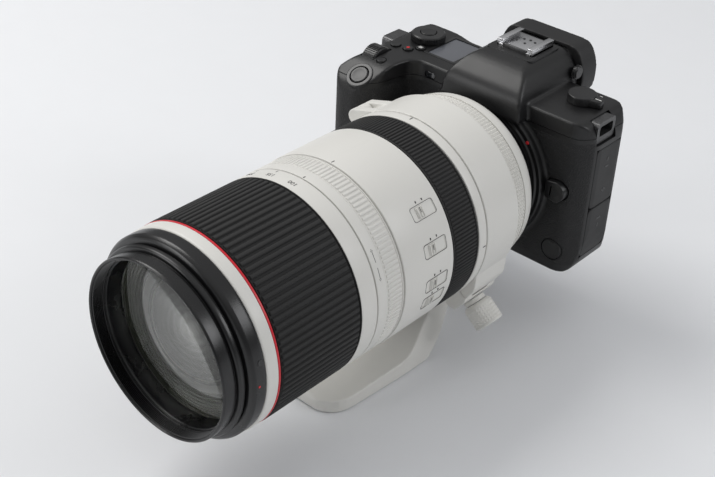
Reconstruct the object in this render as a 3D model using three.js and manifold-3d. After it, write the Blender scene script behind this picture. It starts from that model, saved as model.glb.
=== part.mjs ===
// Interchangeable-lens camera with a white telephoto zoom, standing on the lens's tripod foot.
// Millimetres, +Z up. The origin is on the underside of the tripod foot. The lens looks along -Y
// and the grip is on the -X side. Pieces are drawn from the centre of the mount face, with the
// lens axis along Y, and the last group lifts them so that the foot stands on z = 0.

import * as THREE from 'three';
import { mergeVertices } from 'three/addons/utils/BufferGeometryUtils.js';
import Module from 'manifold-3d';

const wasm = await Module();
wasm.setup();

// ---------------------------------------------------------------- driving dimensions

const GAP = 0.3; // between pieces that rest on each other
const RUNNING = 0.4; // radial clearance of a ring that turns
const RING_SIDES = 48;
const KNOB_SIDES = 18;

// camera body, measured from the lens axis and the mount face
const BODY_WIDTH = 138.5;
const AXIS_TO_PORT_SIDE = 58.5;
const AXIS_TO_BASE = 41.5;
const BODY_HEIGHT = 83; // base to shoulder
const FINDER_RISE = 14; // shoulder to the top of the viewfinder housing
const FRONT_SETBACK = 5; // mount face to the front wall
const BODY_THICKNESS = 36; // front wall to rear wall
const GRIP_REACH = 32; // grip front ahead of the front wall
const GRIP_WIDTH = 33;
const WALL = 3;
const GRIP_SKIN = 1.4;
const BASE_THICKNESS = 3;

const PORT_X = AXIS_TO_PORT_SIDE;
const GRIP_X = AXIS_TO_PORT_SIDE - BODY_WIDTH;
const BASE_Z = -AXIS_TO_BASE;
const TOP_Z = BASE_Z + BODY_HEIGHT;
const FINDER_Z = TOP_Z + FINDER_RISE;
const FRONT_Y = FRONT_SETBACK;
const REAR_Y = FRONT_Y + BODY_THICKNESS;
const GRIP_Y = FRONT_Y - GRIP_REACH;
const SPLIT_Y = FRONT_Y + 15; // front cover meets rear cover
const SEAM_Z = TOP_Z - 8; // top cover meets the two others
const BASE_SEAM_Z = BASE_Z + BASE_THICKNESS;

// mount
const MOUNT_RADIUS = 33;
const THROAT_RADIUS = 27;
const MOUNT_DEPTH = 4;
const BAYONET_LUG = 2; // radial height of the lens's three lugs
const IMAGE_DISTANCE = 20;
const IMAGE_WIDTH = 36;
const IMAGE_HEIGHT = 24;

// lens, distances ahead of the mount face
const AXIS_HEIGHT = 78; // above the underside of the foot
const BARREL_RADIUS = 46.9;
const BARREL_WALL = 3.1;
const TAIL_STEP = 9.4; // tail below the barrel
const TAIL_LENGTH = 9;
const SHOULDER_LENGTH = 8; // white band between the tail and the control ring
const CONTROL_RING_LENGTH = 11;
const CONTROL_RING_STEP = 2.9; // control ring below the barrel
const COLLAR_LENGTH = 24;
const COLLAR_WALL = 2.9;
const REAR_BAND_LENGTH = 6; // white band between the collar and the focus ring
const FOCUS_RING_LENGTH = 18;
const PANEL_BAND_LENGTH = 33; // white band that carries the switches
const TENSION_RING_LENGTH = 17;
const ZOOM_RING_LENGTH = 56.5;
const HEAD_LENGTH = 25.1;
const RING_WALL = 2.2; // of the rings that turn
const RIM_STEP = 6.2; // rim below the barrel
const HEAD_WALL = 3;
const SLEEVE_WALL = 1.5;
const INNER_BARREL_WALL = 1.8;
const GUIDE_WALL = 2;
const INNER_BARREL_OVERLAP = 104; // how far the sliding barrel reaches back inside

// collar, clamp and foot
const CLAMP_ANGLE = -40; // direction of the clamp screw, degrees
const HINGE_ANGLE = 137.3;
const HINGE_PIN_RADIUS = 1.6;
const KNUCKLE_RADIUS = 3.8;
const KNUCKLE_LENGTH = 15;
const KNOB_RADIUS = 7.5;
const KNOB_HEIGHT = 12;
const SCREW_RADIUS = 2;
const FOOT_LENGTH = 66;
const FOOT_HALF_WIDTH = 22.5;
const FOOT_THICKNESS = 9;
const FOOT_BACK = 56; // rear edge of the foot's underside, ahead of the mount face
const STEM_HALF_WIDTH = 16;
const STEM_THICKNESS = 15;
const FOOT_TO_MOUNT_FACE = 80; // from the foot's reference point to the mount face

// controls
const BUTTON_CLEARANCE = 0.3;
const DIAL_CLEARANCE = 0.35;
const SCREEN_WIDTH = 76;
const SCREEN_HEIGHT = 60;
const SCREEN_THICKNESS = 5.5;

// ---------------------------------------------------------------- shape helpers

// Makes a manifold solid of a closed three.js geometry.
function solid(geometry) {
  geometry.deleteAttribute('normal');
  geometry.deleteAttribute('uv');
  const merged = mergeVertices(geometry, 1e-4);
  const index = merged.index.array;
  const triangles = [];
  for (let i = 0; i < index.length; i += 3) {
    const [a, b, c] = [index[i], index[i + 1], index[i + 2]];
    if (a !== b && b !== c && c !== a) triangles.push(a, b, c);
  }
  return new wasm.Manifold(new wasm.Mesh({
    numProp: 3,
    vertProperties: new Float32Array(merged.attributes.position.array),
    triVerts: new Uint32Array(triangles),
  }));
}

// Turns corners [x, y, radius] into an outline whose corners are rounded over that length. The
// two radii at the ends of an edge are together shorter than the edge.
function outline(corners) {
  const shape = new THREE.Shape();
  corners.forEach(([x, y, radius = 0], i) => {
    const corner = new THREE.Vector2(x, y);
    const before = new THREE.Vector2(...corners.at(i - 1));
    const after = new THREE.Vector2(...corners[(i + 1) % corners.length]);
    const into = cornerEnd(corner, before, radius);
    const out = cornerEnd(corner, after, radius);
    if (i === 0) shape.moveTo(into.x, into.y);
    else shape.lineTo(into.x, into.y);
    if (radius > 0) shape.quadraticCurveTo(x, y, out.x, out.y);
  });
  shape.closePath();
  return shape;
}

function cornerEnd(corner, neighbour, radius) {
  return corner.clone().add(neighbour.clone().sub(corner).setLength(radius));
}

// Moves every edge of a counter-clockwise outline inwards.
function inset(corners, distance) {
  return corners.map(([x, y, radius = 0], i) => {
    const corner = new THREE.Vector2(x, y);
    const before = corner.clone().sub(new THREE.Vector2(...corners.at(i - 1))).normalize();
    const after = new THREE.Vector2(...corners[(i + 1) % corners.length]).sub(corner).normalize();
    const a = new THREE.Vector2(-before.y, before.x);
    const b = new THREE.Vector2(-after.y, after.x);
    const scale = distance / (1 + a.dot(b));
    const shorter = before.cross(after) * scale;
    return [x + (a.x + b.x) * scale, y + (a.y + b.y) * scale, Math.max(0, radius - shorter)];
  });
}

const AXES = {
  x: new THREE.Matrix4().makeBasis(
    new THREE.Vector3(0, 1, 0), new THREE.Vector3(0, 0, 1), new THREE.Vector3(1, 0, 0)),
  y: new THREE.Matrix4().makeBasis(
    new THREE.Vector3(1, 0, 0), new THREE.Vector3(0, 0, 1), new THREE.Vector3(0, -1, 0)),
  z: new THREE.Matrix4(),
};

// Extrudes an outline along an axis. Outlines are (y, z) along x, (x, z) along y, (x, y) along z.
function prism(corners, axis, from, to, curveSegments = 3) {
  const geometry = new THREE.ExtrudeGeometry(outline(corners), {
    depth: to - from,
    bevelEnabled: false,
    curveSegments,
  });
  geometry.applyMatrix4(AXES[axis]);
  const start = { x: [from, 0, 0], y: [0, to, 0], z: [0, 0, from] }[axis];
  return solid(geometry).translate(start);
}

function box(x0, x1, y0, y1, z0, z1) {
  const geometry = new THREE.BoxGeometry(x1 - x0, y1 - y0, z1 - z0);
  return solid(geometry).translate([(x0 + x1) / 2, (y0 + y1) / 2, (z0 + z1) / 2]);
}

// Turns a closed profile of [radius, y] points about the Y axis.
function turned(profile, sides = RING_SIDES) {
  const area = profile.reduce((sum, [r, y], i) => {
    const [nextR, nextY] = profile[(i + 1) % profile.length];
    return sum + r * nextY - nextR * y;
  }, 0);
  const ordered = area > 0 ? profile : [...profile].reverse();
  const points = [...ordered, ordered[0]].map(([r, y]) => new THREE.Vector2(r, y));
  return solid(new THREE.LatheGeometry(points, sides));
}

// A plain ring or disc about the Y axis.
function ring(inner, outer, y0, y1, sides = RING_SIDES) {
  return turned([[inner, y0], [outer, y0], [outer, y1], [inner, y1]], sides);
}

// A disc about Y at the origin, with its far edge chamfered, from y = 0 to y = height.
function button(radius, height, chamfer = 0.5, sides = KNOB_SIDES) {
  return turned([
    [0, 0], [radius, 0], [radius, height - chamfer], [radius - chamfer, height], [0, height],
  ], sides);
}

const upright = (shape) => shape.rotate([90, 0, 0]); // from along +Y to along +Z
const forwards = (shape) => shape.rotate([180, 0, 0]); // from along +Y to along -Y
const outwards = (shape) => shape.rotate([0, 0, -90]); // from along +Y to along +X

function rectangle(x0, x1, y0, y1, radius = 0) {
  return [[x0, y0, radius], [x1, y0, radius], [x1, y1, radius], [x0, y1, radius]];
}

// ---------------------------------------------------------------- materials and nodes

function finish(color, roughness, metalness = 0) {
  return new THREE.MeshStandardMaterial({ color, roughness, metalness });
}

const FINISH = {
  bodyBlack: finish(0x2a2b2e, 0.6),
  gripRubber: finish(0x1d1d1f, 0.85),
  rubber: finish(0x222224, 0.8),
  gloss: finish(0x111113, 0.2),
  white: finish(0xdcdcd6, 0.5),
  lensBlack: finish(0x1b1b1d, 0.45),
  steel: finish(0xb8babc, 0.35, 0.9),
  screen: finish(0x0b0c0e, 0.12),
  glass: finish(0x5b6a5a, 0.05),
  board: finish(0x1f5a3a, 0.6),
  cell: finish(0x3b3c40, 0.55),
};

const model = new THREE.Group();
const camera = new THREE.Group();
camera.position.set(0, FOOT_TO_MOUNT_FACE, AXIS_HEIGHT);
model.add(camera);

function part(name, shape, material) {
  const mesh = shape.getMesh();
  const geometry = new THREE.BufferGeometry();
  geometry.setAttribute('position', new THREE.BufferAttribute(mesh.vertProperties, 3));
  geometry.setIndex(new THREE.BufferAttribute(mesh.triVerts, 1));
  geometry.computeVertexNormals();
  const node = new THREE.Mesh(geometry, material);
  node.name = name;
  camera.add(node);
}

// ---------------------------------------------------------------- camera body

const GRIP_INNER_X = GRIP_X + GRIP_WIDTH;

const frontOutline = [
  [GRIP_X + 3, BASE_Z, 5], [PORT_X - 3, BASE_Z, 4], [PORT_X, BASE_Z + 14, 8],
  [PORT_X, TOP_Z - 10, 6], [PORT_X - 5, TOP_Z, 4], [GRIP_X + 9, TOP_Z, 7],
  [GRIP_X + 0.5, TOP_Z - 12, 7], [GRIP_X, 0, 14], [GRIP_X + 0.5, BASE_Z + 16, 10],
];
const planOutline = [
  [PORT_X, FRONT_Y + 8, 5], [PORT_X, REAR_Y - 4, 4], [PORT_X - 7, REAR_Y, 3],
  [GRIP_INNER_X + 9, REAR_Y, 4], [GRIP_INNER_X - 4, REAR_Y + 4, 6], [GRIP_X + 8, REAR_Y + 4, 7],
  [GRIP_X, REAR_Y - 9, 8], [GRIP_X, GRIP_Y + 19, 10], [GRIP_X + 7, GRIP_Y, 9],
  [GRIP_INNER_X - 10, GRIP_Y, 6], [GRIP_INNER_X - 4, GRIP_Y + 9, 4.5],
  [GRIP_INNER_X, FRONT_Y - 3, 3], [GRIP_INNER_X + 5, FRONT_Y, 2], [PORT_X - 7, FRONT_Y, 4],
];
const sideOutline = [
  [GRIP_Y + 1, BASE_Z + 3, 3], [GRIP_Y + 6, BASE_Z, 2], [REAR_Y + 5, BASE_Z, 2],
  [REAR_Y + 5, TOP_Z, 3], [GRIP_Y + 20, TOP_Z, 3], [GRIP_Y + 13, TOP_Z - 2.2, 3],
  [GRIP_Y, TOP_Z - 11.5, 5],
];
const FINDER_HALF_WIDTH = 24;
const finderFront = [
  [-FINDER_HALF_WIDTH, SEAM_Z + 5], [FINDER_HALF_WIDTH, SEAM_Z + 5],
  [FINDER_HALF_WIDTH - 2, TOP_Z + 3, 2], [14, FINDER_Z, 3], [-14, FINDER_Z, 3],
  [2 - FINDER_HALF_WIDTH, TOP_Z + 3, 2],
];
const finderSide = [
  [FRONT_Y - 8, SEAM_Z + 5, 1], [REAR_Y + 6, SEAM_Z + 5], [REAR_Y + 6, FINDER_Z - 2, 1],
  [REAR_Y + 3, FINDER_Z, 1], [FRONT_Y + 6, FINDER_Z, 4], [FRONT_Y - 7, TOP_Z + 3, 1.5],
];

// The body as one block, shrunk by a distance on every side.
function bodyBlock(distance) {
  const far = 200;
  return prism(inset(frontOutline, distance), 'y', -far, far)
    .intersect(prism(inset(planOutline, distance), 'z', -far, far))
    .intersect(prism(inset(sideOutline, distance), 'x', -far, far));
}

function finderBlock(distance) {
  const half = FINDER_HALF_WIDTH;
  return prism(inset(finderFront, distance), 'y', FRONT_Y - 10, REAR_Y + 10)
    .intersect(prism(inset(finderSide, distance), 'x', -half, half));
}

const outerBody = bodyBlock(0).add(finderBlock(0));
const hollow = bodyBlock(WALL).add(finderBlock(WALL));
const shell = outerBody.subtract(hollow);
const gripZone = (grow) => box(GRIP_X - 5, GRIP_INNER_X + 2 + grow, GRIP_Y - 5, SPLIT_Y - 4 + grow,
  BASE_SEAM_Z + 4 - grow, SEAM_Z - 5 + grow);

// holes that the covers share: each is the piece that fits there, grown by its clearance
const cuts = { top: [], front: [], rear: [], base: [], grip: [] };

// -- battery, in the grip, with its door under it
const BATTERY = { width: 21, depth: 38.4, height: 56.8 };
const BATTERY_X = GRIP_X + WALL + 2.5;
const BATTERY_Y = GRIP_Y + 13;
const BATTERY_Z = BASE_SEAM_Z + 1;
const DOOR_MARGIN = 2;

const batteryBlock = (grow) => box(
  BATTERY_X - grow, BATTERY_X + BATTERY.width + grow,
  BATTERY_Y - grow, BATTERY_Y + BATTERY.depth + grow,
  BATTERY_Z - grow, BATTERY_Z + BATTERY.height + grow);
part('battery', batteryBlock(0), FINISH.cell);

const DOOR_X0 = BATTERY_X;
const DOOR_X1 = BATTERY_X + BATTERY.width + DOOR_MARGIN;
const DOOR_Y0 = BATTERY_Y - DOOR_MARGIN;
const DOOR_Y1 = BATTERY_Y + BATTERY.depth + DOOR_MARGIN;
const doorBlock = (grow) => prism(
  rectangle(DOOR_X0 - grow, DOOR_X1 + grow, DOOR_Y0 - grow, DOOR_Y1 + grow, 3),
  'z', BASE_Z, BASE_Z + BASE_THICKNESS - GAP + grow);
part('battery_door', doorBlock(0), FINISH.bodyBlack);
cuts.base.push(doorBlock(GAP));

// -- mount opening
const mountHole = ring(0, MOUNT_RADIUS + GAP, -10, FRONT_Y + WALL + 1);
cuts.front.push(mountHole);
const MOUNT_COLLAR_RADIUS = MOUNT_RADIUS + 6;
const mountCollar = ring(MOUNT_RADIUS + GAP, MOUNT_COLLAR_RADIUS, 1, FRONT_Y + WALL);

// -- lens release: a button beside the mount and the pin that it draws back
const RELEASE_RADIUS = 5.5;
const RELEASE_X = MOUNT_COLLAR_RADIUS + RELEASE_RADIUS + 1;
const RELEASE_Z = 4;
const RELEASE_HEIGHT = 7;
const releaseAt = (shape) => forwards(shape).translate([RELEASE_X, FRONT_Y + WALL + 1, RELEASE_Z]);
part('lens_release_button', releaseAt(button(RELEASE_RADIUS, RELEASE_HEIGHT, 0.8)), FINISH.bodyBlack);
const RELEASE_TRAVEL = 2;
cuts.front.push(releaseAt(button(RELEASE_RADIUS + BUTTON_CLEARANCE, RELEASE_HEIGHT + RELEASE_TRAVEL + 3, 0)
  .translate([0, -RELEASE_TRAVEL - 1, 0])));

const LOCK_PIN_RADIUS = 1.2;
const LOCK_PIN_X = (MOUNT_RADIUS + THROAT_RADIUS + BAYONET_LUG) / 2 + 0.1;
const LOCK_PIN_OUT = 1.6; // how far the pin stands out of the mount face
const lockPin = (grow) => ring(0, LOCK_PIN_RADIUS + grow, -LOCK_PIN_OUT - grow, MOUNT_DEPTH + 2, 16)
  .translate([LOCK_PIN_X, 0, 0]);
part('lens_lock_pin', lockPin(0), FINISH.steel);

// -- covers
function minus(shape, holes) {
  return holes.reduce((rest, hole) => rest.subtract(hole), shape);
}

// Round push button that stands out of its covers by a height, where place puts it.
function pushButton(name, covers, radius, height, place, material = FINISH.bodyBlack) {
  const depth = WALL + 0.5;
  part(name, place(button(radius, height + depth, 0.4).translate([0, -depth, 0])), material);
  const hole = button(radius + BUTTON_CLEARANCE, height + 2 * depth, 0).translate([0, -depth - 2, 0]);
  for (const cover of covers) cuts[cover].push(place(hole));
}

const onTop = (x, y, z = TOP_Z) => (shape) => upright(shape).translate([x, y, z]);
const onRear = (x, z, y = REAR_Y) => (shape) => shape.translate([x, y, z]);

// top plate, grip side
const SHUTTER_X = GRIP_X + 19;
const SHUTTER_Y = GRIP_Y + 7;
const SHUTTER_Z = TOP_Z - 6.4;
const SHUTTER_TILT = 33; // degrees forwards
const SHUTTER_RADIUS = 4.8;
const onSlope = (shape) => upright(shape).rotate([SHUTTER_TILT, 0, 0])
  .translate([SHUTTER_X, SHUTTER_Y, SHUTTER_Z]);
pushButton('shutter_button', ['top', 'front'], SHUTTER_RADIUS, 1.6, onSlope);
pushButton('multi_function_button', ['top'], 2.4, 1, onTop(SHUTTER_X + 4, GRIP_Y + 18.5, TOP_Z - 1));
pushButton('lock_button', ['top'], 2.6, 0.9, onTop(GRIP_X + 17.2, GRIP_Y + 36.4));
pushButton('movie_button', ['top'], 2.6, 1, onTop(GRIP_X + 24.6, GRIP_Y + 37.2));
pushButton('lamp_button', ['top'], 2.6, 0.9, onTop(GRIP_X + 28.6, GRIP_Y + 42.4));

const MODE_DIAL_RADIUS = 9;
const MODE_DIAL_HEIGHT = 3.6;
const MODE_X = GRIP_X + 24;
const MODE_Y = REAR_Y - 14;
const MODE_BUTTON_RADIUS = 4.2;
const modeAt = onTop(MODE_X, MODE_Y, TOP_Z + GAP);
part('mode_dial', modeAt(turned([
  [MODE_BUTTON_RADIUS + DIAL_CLEARANCE, 0], [MODE_DIAL_RADIUS, 0],
  [MODE_DIAL_RADIUS, MODE_DIAL_HEIGHT - 0.8], [MODE_DIAL_RADIUS - 0.8, MODE_DIAL_HEIGHT],
  [MODE_BUTTON_RADIUS + DIAL_CLEARANCE, MODE_DIAL_HEIGHT],
], 32)), FINISH.bodyBlack);
pushButton('mode_button', ['top'], MODE_BUTTON_RADIUS, MODE_DIAL_HEIGHT + 0.8, onTop(MODE_X, MODE_Y));

const MAIN_DIAL_RADIUS = 8;
const MAIN_DIAL_WIDTH = 8;
const MAIN_DIAL_SINK = 5.2; // axis below the top plate
const MAIN_DIAL_X = GRIP_X + 15;
const MAIN_DIAL_Y = GRIP_Y + 24;
const mainDialAt = (shape) => outwards(shape)
  .translate([MAIN_DIAL_X, MAIN_DIAL_Y, TOP_Z - MAIN_DIAL_SINK]);
part('main_dial', mainDialAt(ring(0, MAIN_DIAL_RADIUS, -MAIN_DIAL_WIDTH / 2, MAIN_DIAL_WIDTH / 2, 32)),
  FINISH.bodyBlack);
cuts.top.push(mainDialAt(ring(
  0, MAIN_DIAL_RADIUS + DIAL_CLEARANCE,
  -MAIN_DIAL_WIDTH / 2 - DIAL_CLEARANCE, MAIN_DIAL_WIDTH / 2 + DIAL_CLEARANCE, 32)));

const DISPLAY = { x0: GRIP_INNER_X - 0.4, x1: -FINDER_HALF_WIDTH - 5, y0: FRONT_Y + 9, y1: REAR_Y - 2 };
const displayBlock = (grow) => prism(rectangle(
  DISPLAY.x0 - grow, DISPLAY.x1 + grow, DISPLAY.y0 - grow, DISPLAY.y1 + grow, 1),
'z', TOP_Z - 1.6 - grow, TOP_Z - 0.2 + grow);
part('top_display', displayBlock(0), FINISH.screen);
cuts.top.push(displayBlock(GAP));

// top plate, port side
const LEVER_X = PORT_X - 20;
const LEVER_Y = REAR_Y - 14;
const LEVER_RADIUS = 7;
const LEVER_HEIGHT = 4;
const LEVER_REACH = 11.5;
const leverShape = prism([
  [LEVER_REACH, -2.2, 1.5], [LEVER_REACH, 2.2, 1.5], [0, LEVER_RADIUS * 0.8], [0, -LEVER_RADIUS * 0.8],
], 'z', 0, LEVER_HEIGHT).add(upright(button(LEVER_RADIUS, LEVER_HEIGHT, 0.8, 32)));
part('power_lever', leverShape.translate([LEVER_X, LEVER_Y, TOP_Z + GAP]), FINISH.bodyBlack);

// hot shoe: a base plate with two rails
const SHOE = { halfWidth: 10.5, length: 18, base: 1, pad: 0.3, rail: 2.4, lip: 1.9, lipThickness: 0.9 };
const SHOE_Y = FRONT_Y + 18;
const shoeZ = FINDER_Z + GAP;
const shoeTop = shoeZ + SHOE.rail + SHOE.lipThickness;
const shoeRail = (side) => box(0, 1.2, SHOE_Y, SHOE_Y + SHOE.length, shoeZ, shoeTop)
  .add(box(0, SHOE.lip + 1.2, SHOE_Y, SHOE_Y + SHOE.length, shoeZ + SHOE.rail, shoeTop))
  .scale([side, 1, 1])
  .translate([-side * SHOE.halfWidth, 0, 0]);
const shoePad = box(-SHOE.halfWidth + 3.5, SHOE.halfWidth - 3.5, SHOE_Y + 2, SHOE_Y + SHOE.length - 2,
  shoeZ, shoeZ + SHOE.base + SHOE.pad);
part('hot_shoe', box(-SHOE.halfWidth, SHOE.halfWidth, SHOE_Y, SHOE_Y + SHOE.length, shoeZ, shoeZ + SHOE.base)
  .add(shoePad).add(shoeRail(1)).add(shoeRail(-1)), FINISH.steel);

// strap lugs, let into the two shoulders
const LUG = { y0: FRONT_Y + 9, y1: FRONT_Y + 24, drop: 12, width: 7, bar: 2 };
function strapLug(name, side, outerX) {
  const inX = outerX - side * LUG.width;
  const [x0, x1] = side > 0 ? [inX, outerX] : [outerX, inX];
  const block = (grow) => box(
    x0 - grow, x1 + grow, LUG.y0 - grow, LUG.y1 + grow,
    TOP_Z - LUG.drop - grow, TOP_Z - 1 + grow);
  const opening = box(x0 - 5, x1 + 5, LUG.y0 + LUG.bar, LUG.y1 - LUG.bar,
    TOP_Z - LUG.drop + LUG.bar, TOP_Z - 1 - LUG.bar);
  part(name, block(0).subtract(opening), FINISH.steel);
  const pocket = block(GAP).add(box(
    Math.min(outerX, outerX + side * 8), Math.max(outerX, outerX + side * 8),
    LUG.y0 - GAP, LUG.y1 + GAP, TOP_Z - LUG.drop - GAP, TOP_Z + 5));
  for (const cover of ['top', 'front', 'rear']) cuts[cover].push(pocket);
}
strapLug('strap_lug_port_side', 1, PORT_X - 1.5);
strapLug('strap_lug_grip_side', -1, GRIP_X + 4);

// rear: screen on its side hinge, dial, buttons
const HINGE_WIDTH = 5;
const SCREEN_X1 = PORT_X - 8 - HINGE_WIDTH;
const SCREEN_X0 = SCREEN_X1 - SCREEN_WIDTH;
const SCREEN_Z0 = BASE_Z + 5;
const SCREEN_Z1 = SCREEN_Z0 + SCREEN_HEIGHT;
const SCREEN_Y0 = REAR_Y - 0.5;
const screenBlock = (grow) => prism(
  rectangle(SCREEN_X0 - grow, SCREEN_X1 + grow, SCREEN_Z0 - grow, SCREEN_Z1 + grow, 3),
  'y', SCREEN_Y0 - grow, SCREEN_Y0 + SCREEN_THICKNESS);
part('screen_panel', screenBlock(0), FINISH.screen);

const HINGE_X = SCREEN_X1 + GAP + HINGE_WIDTH / 2;
const HINGE_Y = SCREEN_Y0 + SCREEN_THICKNESS / 2;
const hingeBlock = (grow) => prism(
  rectangle(SCREEN_X1 + GAP - grow, SCREEN_X1 + GAP + HINGE_WIDTH + grow,
    SCREEN_Y0 - grow, SCREEN_Y0 + SCREEN_THICKNESS + grow, 2),
  'z', SCREEN_Z0 + 8 - grow, SCREEN_Z1 - 8 + grow);
part('screen_hinge', hingeBlock(0), FINISH.bodyBlack);
const swingRadius = Math.hypot(HINGE_WIDTH / 2 + GAP, SCREEN_THICKNESS / 2) + GAP;
const swingRoom = ring(0, swingRadius, SCREEN_Z0 - GAP, SCREEN_Z1 + GAP, 32);
cuts.rear.push(screenBlock(GAP).add(hingeBlock(GAP)));
cuts.rear.push(upright(swingRoom).translate([HINGE_X, HINGE_Y, 0]));

const REAR_DIAL = { radius: 14, height: 3.2, x: GRIP_X + 22, z: BASE_Z + 27 };
const THUMB_Y = REAR_Y + 4;
const SET_RADIUS = 5;
part('rear_dial', turned([
  [SET_RADIUS + DIAL_CLEARANCE, 0], [REAR_DIAL.radius, 0],
  [REAR_DIAL.radius, REAR_DIAL.height - 1], [REAR_DIAL.radius - 1, REAR_DIAL.height],
  [SET_RADIUS + DIAL_CLEARANCE, REAR_DIAL.height],
], 32).translate([REAR_DIAL.x, THUMB_Y - 1, REAR_DIAL.z]), FINISH.bodyBlack);
cuts.rear.push(ring(0, REAR_DIAL.radius + DIAL_CLEARANCE, THUMB_Y - 1 - GAP, THUMB_Y + 10, 32)
  .translate([REAR_DIAL.x, 0, REAR_DIAL.z]));
pushButton('set_button', ['rear'], SET_RADIUS, 2.8, onRear(REAR_DIAL.x, REAR_DIAL.z, THUMB_Y - 1));
pushButton('joystick', ['rear'], 3.6, 3.4, onRear(GRIP_X + 27, TOP_Z - 22, THUMB_Y), FINISH.rubber);
pushButton('af_start_button', ['rear'], 3.4, 1.2, onRear(GRIP_X + 35, TOP_Z - 12, REAR_Y + 0.6));
pushButton('menu_button', ['rear'], 2.8, 1, onRear(PORT_X - 16, TOP_Z - 12));

// memory card and its door, behind the grip
const CARD = { thickness: 3.8, width: 29.8, length: 34 };
const CARD_X = GRIP_X + WALL + 3;
const CARD_Y = BATTERY_Y + BATTERY.depth + 3;
const CARD_Z = BASE_Z + 42;
part('memory_card', box(CARD_X, CARD_X + CARD.length, CARD_Y, CARD_Y + CARD.thickness,
  CARD_Z - CARD.width / 2, CARD_Z + CARD.width / 2), FINISH.gloss);

const cardDoorZone = (grow) => prism(rectangle(
  REAR_Y - 19 - grow, REAR_Y - 1 + grow,
  CARD_Z - CARD.width / 2 - 4 - grow, CARD_Z + CARD.width / 2 + 4 + grow, 2),
'x', GRIP_X - 5, GRIP_X + 12);
part('card_door', outerBody.subtract(bodyBlock(WALL - 1)).intersect(cardDoorZone(0)), FINISH.bodyBlack);
cuts.rear.push(cardDoorZone(GAP));

// port covers and the remote cover, rubber flaps on the port side
const PORT_COVER = { y0: FRONT_Y + 10, y1: REAR_Y - 6, thickness: 2 };
function portCover(name, z0, z1) {
  const zone = (grow) => prism(rectangle(
    PORT_COVER.y0 - grow, PORT_COVER.y1 + grow, z0 - grow, z1 + grow, 3), 'x', PORT_X - 8, PORT_X + 5);
  part(name, outerBody.subtract(bodyBlock(PORT_COVER.thickness)).intersect(zone(0)), FINISH.rubber);
  const pocket = zone(GAP).subtract(bodyBlock(PORT_COVER.thickness + GAP));
  cuts.rear.push(pocket);
  cuts.front.push(pocket);
}
const PORT_MIDDLE_Z = BASE_Z + 35;
portCover('upper_port_cover', PORT_MIDDLE_Z + GAP, TOP_Z - 15);
portCover('lower_port_cover', BASE_Z + 7, PORT_MIDDLE_Z - GAP);

const REMOTE = { x: PORT_X - 12, z: BASE_Z + 12, radius: 5.5, thickness: 1.8 };
const remoteAt = (shape) => forwards(shape).translate([REMOTE.x, FRONT_Y + REMOTE.thickness, REMOTE.z]);
part('remote_cover', remoteAt(button(REMOTE.radius, REMOTE.thickness, 0.4)), FINISH.rubber);
cuts.front.push(remoteAt(button(REMOTE.radius + GAP, REMOTE.thickness + 3, 0).translate([0, -GAP, 0])));

// eyepiece and eyecup behind the viewfinder
const EYECUP = { halfWidth: 28, z0: TOP_Z - 12, z1: FINDER_Z + 0.5, y0: REAR_Y + 6.5, y1: REAR_Y + 19 };
const EYEPIECE = { halfWidth: 13, z0: TOP_Z - 3, z1: TOP_Z + 9.5 };
const eyeOpening = (grow) => prism(rectangle(
  -EYEPIECE.halfWidth - grow, EYEPIECE.halfWidth + grow, EYEPIECE.z0 - grow, EYEPIECE.z1 + grow, 4),
'y', REAR_Y - 20, EYECUP.y1 + 5);
const eyecupOutline = [
  [-EYECUP.halfWidth + 4, EYECUP.z0, 5], [EYECUP.halfWidth - 4, EYECUP.z0, 5],
  [EYECUP.halfWidth, TOP_Z + 2, 8], [EYECUP.halfWidth - 7, EYECUP.z1, 5],
  [7 - EYECUP.halfWidth, EYECUP.z1, 5], [-EYECUP.halfWidth, TOP_Z + 2, 8],
];
part('eyecup', prism(eyecupOutline, 'y', EYECUP.y0, EYECUP.y1).subtract(eyeOpening(3)), FINISH.rubber);
part('eyepiece_lens', prism(rectangle(
  -EYEPIECE.halfWidth, EYEPIECE.halfWidth, EYEPIECE.z0, EYEPIECE.z1, 4),
'y', REAR_Y + 1, REAR_Y + 4), FINISH.glass);
cuts.top.push(eyeOpening(GAP));

// covers, each with its holes
const farBox = (y0, y1, z0, z1) => box(-200, 200, y0, y1, z0, z1);
const topCover = minus(shell.intersect(farBox(-90, 90, SEAM_Z + GAP / 2, 120)), cuts.top);
part('top_cover', topCover, FINISH.bodyBlack);

const gripSkin = outerBody.subtract(bodyBlock(GRIP_SKIN)).intersect(gripZone(0));
const skinPocket = gripZone(GAP).subtract(bodyBlock(GRIP_SKIN + GAP));
part('grip_cover', gripSkin, FINISH.gripRubber);

const frontZone = farBox(-90, SPLIT_Y - GAP / 2, BASE_SEAM_Z + GAP / 2, SEAM_Z - GAP / 2);
const frontCover = minus(
  shell.add(mountCollar).intersect(frontZone), [...cuts.front, skinPocket, batteryBlock(GAP)]);
part('front_cover', frontCover, FINISH.bodyBlack);

const rearZone = farBox(SPLIT_Y + GAP / 2, 90, BASE_SEAM_Z + GAP / 2, SEAM_Z - GAP / 2);
part('rear_cover', minus(shell.intersect(rearZone), [...cuts.rear, batteryBlock(GAP)]), FINISH.bodyBlack);

const SOCKET_RADIUS = 3.2;
const BASE_SOCKET_Y = FRONT_Y + 17;
const socket = upright(ring(0, SOCKET_RADIUS, -5, 5, 20));
const basePlate = outerBody.intersect(farBox(-90, 90, BASE_Z - 5, BASE_SEAM_Z - GAP / 2));
part('base_plate', minus(basePlate, [...cuts.base, socket.translate([0, BASE_SOCKET_Y, BASE_Z])]),
  FINISH.bodyBlack);

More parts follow.
